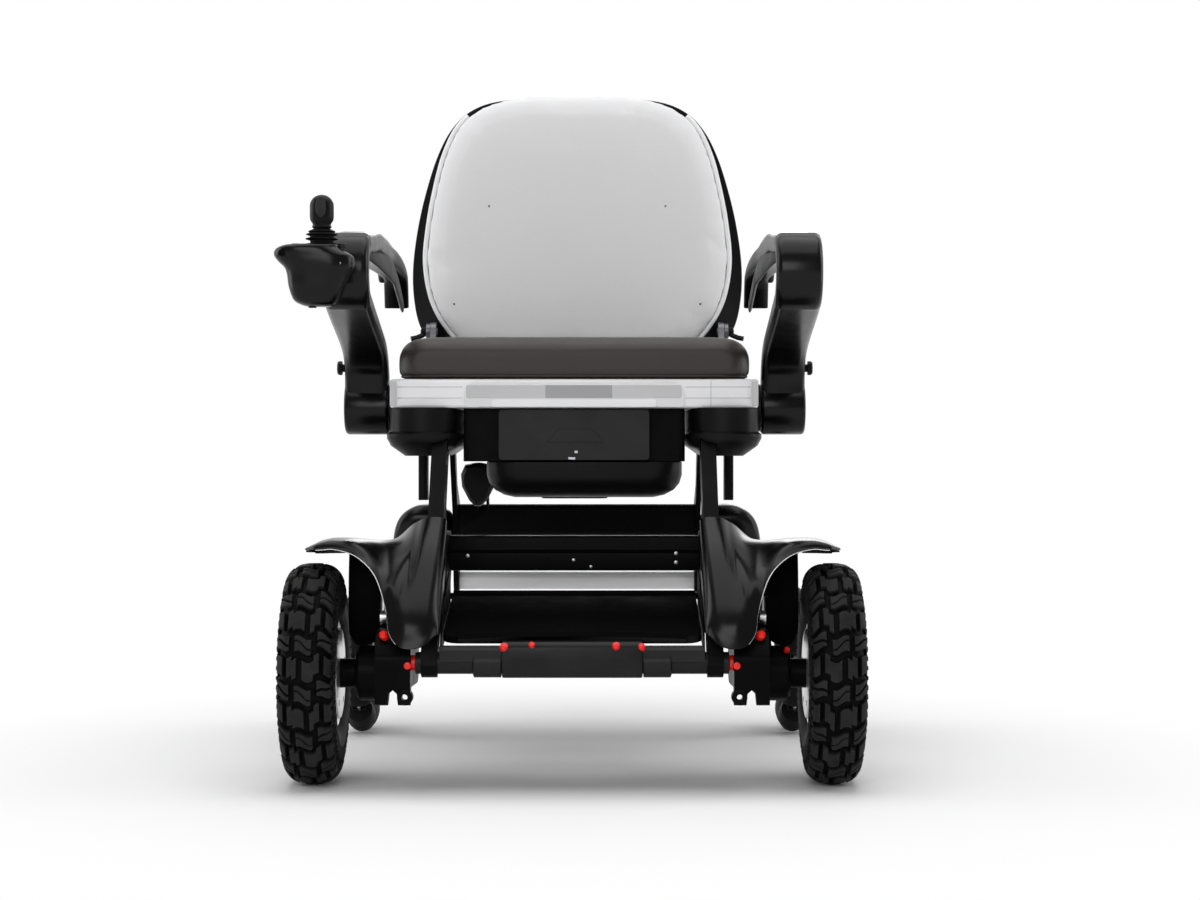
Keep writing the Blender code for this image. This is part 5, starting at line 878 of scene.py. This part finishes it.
def make_shrouds():
    columns = [smooth_curve(column, COVER_STEPS) for column in SHROUD_COLUMNS]
    rows = [smooth_curve(row, COVER_STEPS) for row in zip(*columns)]
    for side, s in SIDES:
        rings = [[(s * x, behind(depth), height) for x, depth, height in row] for row in rows]
        cover = piece("leg_cover_" + side, loft_mesh(rings, False, False), "black_gloss", "front_frame",
                      50.0, ("fender_shroud_" + side,))
        walled(cover, 0.0025, 0.0008)
        lining = [[(x, y + 0.001, z - 0.0024) for x, y, z in ring[:3 * COVER_STEPS + 1]] for ring in rings]
        piece("fender_lining_" + side, loft_mesh(lining, False, False), "black_matte", "front_frame",
              None)
        # painted highlight: a thin white tube along the fender's front rim stands in for its edge highlight
        bead = tube_mesh([point for point in rings[0] if 0.196 < abs(point[0]) < 0.292], 0.0006, 10)
        piece("cover_edge_highlight_" + side, bead, "piping_and_painted_highlight", "front_frame", None)
        make_liner(side, s)


# Armrests: middle and radius of the curl in the band, and half the band's thickness
CURL = (-0.022, 0.5875)
CURL_RADIUS = 0.033
BAND = 0.0125
# Middle line of the band (depth, height, half thickness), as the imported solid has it
BAND_LINE = [(0.216, 0.45, 0.024), (0.208, 0.482, 0.019), (0.186, 0.503, 0.015), (0.14, 0.518, BAND),
             (0.03, 0.542, BAND), *((*point, BAND) for point in arc(*CURL, CURL_RADIUS, 264, -168, 12)),
             (0.06, 0.6275, BAND), (0.13, 0.6345, BAND), (0.23, 0.6345, BAND), (0.30, 0.6305, BAND),
             (0.35, 0.6195, 0.0115), (0.375, 0.602, 0.0085), (0.387, 0.57, 0.006)]
ARM_HINGE = (behind(0.22), 0.436)
FLANK = mm((256, 644), (244, 643.5), (234, 639), (225, 630), (218, 616), (213, 599), (211, 582),
           (213.5, 576), (217, 579), (219, 598), (224, 612), (232, 623), (242, 629), (256, 630))
# Stations of the flank: depth, drop and scale
FLANK_STATIONS = ((0.06, 0.007, 0.22), (0.085, 0.003, 0.36), (0.12, 0.0005, 0.48), (0.18, 0.0, 0.60),
                  (0.24, 0.0005, 0.74), (0.29, 0.0035, 0.88), (0.33, 0.009, 0.97), (0.352, 0.015, 0.95),
                  (0.366, 0.022, 0.85), (0.374, 0.028, 0.70))
# Share of the flank's width that still clears the seat frame when the armrest is flipped back
FLANK_REACH = 0.72


def make_flank(side, s):
    """Inner flank of the arm pad, which bends down towards the seat and ends in a rounded lip."""
    root_x, root_z = 0.256, 0.63
    section = calm_curve(FLANK)
    rings = [[(s * (root_x + (x - root_x) * min(scale, FLANK_REACH)), behind(depth),
               root_z + (z - root_z) * scale - drop) for x, z in section]
             for depth, drop, scale in FLANK_STATIONS]
    piece("arm_flank_" + side, loft_mesh(rings), "black_satin", "armrest_" + side, 40.0)


def make_armrests():
    line = smooth_curve(BAND_LINE, 4, ends=0)
    for side, s in SIDES:
        low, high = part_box("armrest_" + side)
        inner, outer = sorted((abs(low.x), abs(high.x)))
        rings = []
        for i, (depth, height, half) in enumerate(line):
            along = (line[min(i + 1, len(line) - 1)] - line[max(i - 1, 0)]).xy.normalized()
            back = max(0.0, min(1.0, (depth - 0.29) / 0.08)) if height > 0.56 else 0.0
            section = rounded(inner + 0.0005 - 0.0115 * back, -half, outer - 0.0005 - 0.033 * back, half,
                              min(0.0085, half * 0.8), 5)
            rings.append([(s * u, behind(depth - along.y * v), height + along.x * v) for u, v in section])
        profile = ((0.0105, inner + 0.0002), (0.03, inner + 0.0002), (0.0328, inner + 0.0026),
                   (0.033, inner + 0.004), (0.033, outer - 0.004), (0.032, outer - 0.0014), (0.0296, outer),
                   (0.026, outer), (0.025, outer - 0.0012), (0.0, outer - 0.0012))
        barrel = turned_mesh([(r, s * x) for r, x in profile], axis_x(0, *ARM_HINGE), 72)
        piece("arm_band_" + side, [loft_mesh(rings), barrel], "black_gloss", "armrest_" + side,
              40.0, ("armrest_" + side,))
        make_flank(side, s)


# Joystick: pod, stick and tilt centre; the pod's levels (depth below its top, shift in x, half x, half y)

POD_X, POD_Y, POD_TOP = -0.283, behind(-0.0985), 0.613
STICK_X = POD_X + 0.004
TILT_HEIGHT = POD_TOP - 0.008
POD_LEVELS = mm((69, 1, 12, 10), (67.2, 0, 18, 15.5), (63, -2, 23.8, 20.5), (56, -2, 27.8, 23.2),
                (45, -1.2, 31.8, 24.8), (34, 0.6, 35, 25.5), (26, 1.6, 38.6, 26.2), (19, -1.6, 42.4, 26.6),
                (13, -4.4, 44, 26.6), (8, -8.6, 40.2, 26.6), (4, -10.6, 35.2, 26.2), (1, -8, 31.2, 24.2),
                (0, -6, 26.8, 21.5))


def make_pod():
    """Gloss shell with its seat on the armrest and a cable port; the stick's collar, marks and a button."""
    rings = [superellipse(POD_X + shift, POD_Y, POD_TOP - down, half_x, half_y)
             for down, shift, half_x, half_y in smooth_curve(POD_LEVELS, 3)]
    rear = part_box("joystick_pod")[1].y
    left, right = POD_X + 0.006, POD_X + 0.035
    seat = [[(left, rear - 0.012, z), (right, rear - 0.012, z), (right, rear, z), (left, rear, z)]
            for z in (POD_TOP - 0.041, POD_TOP - 0.011)]
    port = turned_mesh(rod(0.0045, -0.0025, 0.004),
                       Matrix.Translation((POD_X - 0.006, POD_Y - 0.004, POD_TOP - 0.068)), 24)
    piece("joystick_shell", [loft_mesh(rings), loft_mesh(seat), port], "black_gloss", "armrest_right",
          40.0, ("joystick_pod",))
    profile = mm((17, 0), (18.4, 0.4), (18.8, 1), (17.6, 1.4), (15.8, 1.2), (15.8, 0))
    collar = turned_mesh(profile, Matrix.Translation((STICK_X, POD_Y, POD_TOP - 0.0002)), 48)
    piece("joystick_collar", collar, "black_matte", "armrest_right", 40.0)
    marks = [turned_mesh(((0, 0.0006), (0.0016, 0.0005), (0.002, -0.001)),
                         along_axis((POD_X + x, POD_Y - y, POD_TOP - z), (0, -1, 0)), 20)
             for x, y, z in ((0.026, 0.0225, 0.022), (-0.001, 0.024, 0.045))]
    piece("joystick_marks", marks, "dark_zinc", "armrest_right")
    rings = [[(POD_X - 0.0345 + x * f, POD_Y - 0.0205 - out, POD_TOP - 0.009 + z * f + 0.30 * x * f)
              for x, z in oval(36, 0.0078, 0.0046)]
             for out, f in ((-0.006, 1.0), (0.0016, 1.0), (0.0026, 0.90))]
    piece("joystick_button", loft_mesh(rings), "plate_black", "armrest_right")


def make_stick():
    """Ribbed bellows, and the stick with its inset grip."""
    profile = [(0.0, 0.0045), (0.0125, 0.0045)]
    for waist, wide, base in ((0.0132, 0.0184, 0.0128), (0.0134, 0.0176, 0.0178), (0.0118, 0.0152, 0.021)):
        for step in range(7):
            rib = math.sin(math.pi * step / 6)
            profile.append((waist + (wide - waist) * rib, base + 0.0036 * step / 6))
    profile += [(0.01, 0.0256), (0.007, 0.0262), (0, 0.0268)]
    bellows = turned_mesh(profile, Matrix.Translation((STICK_X, POD_Y, TILT_HEIGHT)), 48)
    boot = piece("joystick_bellows", bellows, "rubber", None, 50.0, ("joystick_boot",))
    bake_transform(boot)

    base, top = (corner.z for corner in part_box("joystick_stick"))
    profile = [(0, base + 0.0018), (0.0092, base), (0.0112, base + 0.0016), (0.01, base + 0.0042),
               (0.0108, base + 0.0062), (0.0128, base + 0.009), (0.0134, base + 0.013), (0.0134, top - 0.013)]
    for step in range(1, 9):
        angle = math.radians(90 * step / 8)
        profile.append((0.0134 * math.cos(angle) + 0.0001, top - 0.013 + 0.0129 * math.sin(angle)))
    grip = turned_mesh(profile + [(0, top)], Matrix.Translation((STICK_X, POD_Y, 0)), 48)
    piece("joystick_grip", grip, "black_satin", "joystick_stick", 40.0, ("joystick_stick",))
    middle = (base + top) / 2 + 0.004
    rings = [[(STICK_X + x * f, POD_Y - 0.0134 + y, middle + z * f) for x, z in oval(40, 0.0058, 0.0115)]
             for y, f in ((0.003, 1.0), (0.0004, 1.0), (-0.0001, 0.93))]
    piece("joystick_face", loft_mesh(rings), "battery_grey", "joystick_stick", 40.0)


# Smaller pieces

def plate_ring(low_x, low_z, high_x, high_z, radius, y):
    """Rounded rectangle that faces the front, at a depth."""
    return [(x, y, z) for x, z in rounded(low_x, low_z, high_x, high_z, radius, 4)]


def front_plate(low_x, low_z, high_x, high_z, radius, face, proud, deep=0.002):
    """Thin plate that stands proud of a face to the front and reaches in behind it, its rim eased."""
    rim = min(radius * 0.5, 0.0004)
    return loft_mesh([plate_ring(low_x, low_z, high_x, high_z, radius, face + deep),
                      plate_ring(low_x, low_z, high_x, high_z, radius, face - proud + rim),
                      plate_ring(low_x + rim, low_z + rim, high_x - rim, high_z - rim, radius, face - proud)])


def make_front_trim():
    """Recessed band, window and lip of the front panel; seam lines and end caps of the white frame."""
    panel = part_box("seat_front_panel")[0].y + 0.003
    for name, corners, radius, proud, look in (
            ("panel_band", (-0.1285, 0.4458, 0.1285, 0.4616), 0.003, 0.0004, "band_gloss"),
            ("panel_window", (-0.034, 0.446, 0.0455, 0.4614), 0.0006, 0.0007, "window_gloss"),
            ("panel_lip", (-0.0985, 0.4352, 0.0985, 0.444), 0.003, 0.0036, "white_paint")):
        piece(name, front_plate(*corners, radius, panel, proud), look, "seat")
    seams = [(*sorted((s * 0.133, s * 0.211)), z) for s in (-1, 1) for z in (0.4592, 0.446)]
    lines = [front_plate(low, z - 0.0004, high, z + 0.0004, 0.0002, SEAT_FRONT, 0.0002)
             for low, high, z in seams]
    lines.append(front_plate(0.163, 0.4365, 0.1637, 0.4665, 0.0002, SEAT_FRONT, 0.0002))
    piece("frame_seams", lines, "seam_grey", "seat")
    caps = [front_plate(low, 0.4365, high, 0.4665, 0.002, SEAT_FRONT, 0.0005)
            for low, high in ((-0.2195, -0.2122), (0.2122, 0.2195))]
    piece("frame_end_caps", caps, "band_gloss", "seat")


def cap_mesh(place, direction, radius, height=0.003):
    return turned_mesh(((0, height), (radius * 0.55, height), (radius * 0.9, height * 0.7),
                        (radius, height * 0.2), (radius, -0.004)), along_axis(place, direction), 28)


# Depth and height of the tube across the front
TUBE_Y, TUBE_Z = behind(-0.085), 0.146


def make_red_caps():
    """Red caps: on the sleeve's bolts, and the brake release knobs on top of the swing arms."""
    spots = mm((-76, 169, 4.8), (-45, 171.2, 3.6), (49, 170, 4.6), (77.5, 169, 4))
    caps = [cap_mesh((x, TUBE_Y - 0.015, z - 0.004), (0, -0.75, 0.66), radius) for x, z, radius in spots]
    piece("sleeve_caps", caps, "red_plastic", "front_frame")
    for side, s in SIDES:
        knobs = [cap_mesh((s * 0.211, behind(-0.088), 0.177), (s * 0.15, -0.90, 0.42), 0.0052, 0.005),
                 cap_mesh((s * 0.1835, behind(-0.101), 0.144), (0, -1, 0), 0.0042, 0.002)]
        if s > 0:
            knobs.append(cap_mesh((0.245, behind(-0.024), 0.156), (0.2, -0.80, 0.6), 0.003))
        piece("release_knobs_" + side, knobs, "red_plastic", "swing_arm_" + side)


def make_sleeve():
    """Padded bumper round the middle of the tube, saddles beside it and gussets to the legs."""
    section = mm((-17, 13), (-15, 20.5), (-8, 25), (6, 25), (15, 20), (18.5, 10), (18.5, -8), (14, -15),
                 (4, -16), (-9, -16), (-15.5, -13), (-17.5, -6))
    smooth = calm_curve(section)
    rings = [[(x, TUBE_Y + u * f, TUBE_Z + 0.0045 + (v - 0.0045) * f) for u, v in smooth] for x, f in (
        (-0.0785, 0.93), (-0.0778, 0.985), (-0.0765, 1.0), (0.0765, 1.0), (0.0778, 0.985), (0.0785, 0.93))]
    piece("bumper_pad", loft_mesh(rings), "bar_metal", "front_frame", 40.0,
          ("bumper_sleeve",))
    saddle = [(TUBE_Y + u, TUBE_Z + v)
              for u, v in mm((-14, 2), (-13.5, 15), (-9, 19), (7, 19), (12, 14), (12.8, 2))]
    gusset = [(behind(u), z)
              for u, z in mm((-78, 156), (90, 176), (105, 186), (105, 242), (90, 242), (-60, 196))]
    for name, ring, inner, outer, look, slot, edge in (
            ("tube_saddles", saddle, 0.078, 0.1485, "bar_metal", "dark_plastic", 0.0008),
            ("leg_gussets", gusset, 0.1474, 0.1492, "black_matte", "dark_metal", 0.0004)):
        parts = [extruded(ring, s * inner, s * outer) for s in (-1, 1)]
        bevel(piece(name, parts, look, "front_frame", 50.0), edge)


def make_battery():
    """Drawer with a plain face, on which only the rim of the grip shows."""
    low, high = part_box("battery_pack")
    face = front_plate(low.x, low.z, high.x, high.z, 0.004, low.y, 0.0, 0.01)
    body = loft_mesh([plate_ring(low.x + 0.005, low.z + 0.006, high.x - 0.005, high.z - 0.004, 0.002, y)
                      for y in (low.y + 0.005, high.y)])
    grip = ((-0.033, 0.021), (0.035, 0.021), (0.029, 0.03), (0.021, 0.037), (-0.019, 0.037))
    rim = tube_mesh([(x, low.y + 0.0002, low.z + up) for x, up in grip], 0.0005, 8, True)
    piece("battery_case", [face, body, rim], "battery_grey", "battery",
          replaces=("battery_pack",))


def make_fasteners():
    """Bolts, rivets and latch bits on the carried solids."""
    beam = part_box("front_crossbeam")[0].y
    spots = mm((-1, 251, 2.2), (20, 243, 2), (-129, 256, 2.6), (123, 259, 2.6), (123, 248, 2.6))
    bits = [cap_mesh((x, beam + 0.0004, z), (0, -1, 0), radius, 0.0012) for x, z, radius in spots]
    piece("beam_bolts", bits, "zinc", "front_frame")
    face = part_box("battery_pack")[0].y
    latch = [front_plate(*corners, 0.0006, face, 0.0006, 0.003)
             for corners in ((0.0005, 0.38, 0.0045, 0.3832), (-0.007, 0.3725, 0.0015, 0.3755))]
    piece("battery_latch", latch, "zinc", "battery")


# Levels of the rear casting: height, inner and outer x, depth and half its length along Y
REAR_ARM_LEVELS = mm((312, 192, 200, 452, 6), (308.5, 178, 216, 452, 17), (299, 166.5, 231, 452, 24.5),
                     (284, 164.5, 240.5, 454, 27), (260, 166, 245.5, 461, 27.5), (230, 180, 248, 474, 25),
                     (170, 212, 256, 499, 21), (120, 236, 264, 521, 20), (85, 240, 265.5, 530, 16),
                     (78, 244, 262, 531, 9))


def make_rear_arms():
    for side, s in SIDES:
        rings = [superellipse(s * (inner + outer) / 2, behind(depth), height, (outer - inner) / 2, half, 3.4)
                 for height, inner, outer, depth, half in smooth_curve(REAR_ARM_LEVELS, 5)]
        reach = max(abs(corner.x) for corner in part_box("rear_arm_" + side))
        profile = ((0, 0.252), (0.008, 0.252), (0.008, reach - 0.001), (0.007, reach), (0, reach))
        axle = turned_mesh([(r, s * x) for r, x in profile], axis_x(0, OMNI_CENTRE.y, OMNI_CENTRE.z), 32)
        piece("rear_casting_" + side, [loft_mesh(rings), axle], "black_gloss", "rear_frame",
              40.0, ("rear_arm_" + side,))


def make_ears():
    """Ring bosses in the swing arms' front ears."""
    profile = mm((3.6, 14.5), (3.6, -0.6), (4.6, -1.6), (7.4, -1.6), (8.8, -0.4), (8.8, 14.5), (3.6, 14.5))
    for side, s in SIDES:
        ring = turned_mesh(profile, along_axis((s * 0.1865, behind(-0.1005), 0.1085), (0, 1, 0)), 32)
        piece("ear_ring_" + side, ring, "frame_metal", "swing_arm_" + side, 40.0)


# Stage, light and camera

def ray(tree, kind):
    """1 for rays of a kind, 0 for the rest."""
    return add(tree, "LightPath", {}, "Is " + kind + " Ray")


def fade(tree, value, start, end):
    return add(tree, "MapRange", {"Value": value, "From Min": start, "From Max": end}, "Result",
               interpolation_type="SMOOTHSTEP")


def make_stage():
    """Pale floor that takes the shadows near the chair and fades to plain white away from it."""
    bpy.ops.mesh.primitive_grid_add(x_subdivisions=2, y_subdivisions=2, size=60, location=(0, 0, 0))
    floor = bpy.context.object
    floor.name = "floor"
    made, tree, shader = new_material("floor_paper")
    feed(tree, shader, {"Base Color": (0.94, 0.94, 0.94, 1), "Roughness": 0.9, "Specular IOR Level": 0.0})
    away = add(tree, "VectorMath", {0: add(tree, "TexCoord", {}, "Object")}, "Value", operation="LENGTH")
    seen = maths(tree, "MAXIMUM", ray(tree, "Camera"), ray(tree, "Glossy"))
    seen = maths(tree, "MAXIMUM", seen, ray(tree, "Transmission"))
    share = maths(tree, "MULTIPLY", fade(tree, away, *FLOOR_FADE), seen)
    white = add(tree, "Emission", {"Strength": 1.0})
    surface = add(tree, "MixShader", {"Fac": share, 1: shader.outputs[0], 2: white})
    feed(tree, next(node for node in tree.nodes if node.type == "OUTPUT_MATERIAL"), {"Surface": surface})
    floor.data.materials.append(made)


def make_world():
    """Even light from all round, white to the camera, and white to what mirrors the side behind the chair."""
    world = bpy.data.worlds.new("studio")
    bpy.context.scene.world = world
    world.use_nodes = True
    tree = world.node_tree
    towards = add(tree, "SeparateXYZ", {"Vector": add(tree, "TexCoord", {}, "Generated")}, "Y")
    mirrored = maths(tree, "MULTIPLY", ray(tree, "Glossy"), fade(tree, towards, -0.45, 0.40))
    seen = maths(tree, "MAXIMUM", ray(tree, "Camera"), ray(tree, "Transmission"))
    level = maths(tree, "MAXIMUM", maths(tree, "MAXIMUM", seen, mirrored), SKY_LEVEL)
    background = next(node for node in tree.nodes if node.type == "BACKGROUND")
    feed(tree, background, {"Color": (1, 1, 1, 1), "Strength": level})


LAMP_TARGET = Vector((0, 0, 0.45))
LAMPS = (("overhead", (0, -0.3, 2.6), (2.6, 2.6), 40), ("side_left", (2.4, 0.2, 1.1), (1.0, 2.0), 16),
         ("side_right", (-2.4, 0.2, 1.1), (1.0, 2.0), 16), ("front_fill", (-0.5, -3.6, 1.5), (2.0, 1.4), 34),
         ("back_fill", (0.4, 3.4, 1.6), (2.0, 1.4), 20))


def make_lights():
    for name, place, size, power in LAMPS:
        data = bpy.data.lights.new(name, "AREA")
        data.shape = "RECTANGLE"
        data.size, data.size_y = size
        data.energy = power
        lamp = in_scene(name, data)
        lamp.location = place
        lamp.rotation_euler = (LAMP_TARGET - Vector(place)).to_track_quat("-Z", "Y").to_euler()


def make_camera():
    data = bpy.data.cameras.new("camera")
    data.lens = FOCAL_LENGTH
    data.sensor_width = 36.0
    camera = in_scene("camera", data)
    camera.location = (EYE_X, AXLE_Y - EYE_DISTANCE, EYE_HEIGHT)
    camera.rotation_euler = (math.radians(90) - TILT_DOWN, 0, 0)
    bpy.context.scene.camera = camera


bpy.context.scene.view_settings.view_transform = "Standard"
dress_solids()
for side_name, side_sign in SIDES:
    make_tyre(side_name, side_sign)
    make_rim(side_name, side_sign)
    make_omni(side_name, side_sign)
for make in (make_back_shell, make_back_pad, make_cushion, make_shrouds, make_armrests, make_rear_arms,
             make_ears, make_pod, make_stick, make_front_trim, make_sleeve, make_red_caps, make_battery,
             make_fasteners, make_stage, make_world, make_lights, make_camera):
    make()
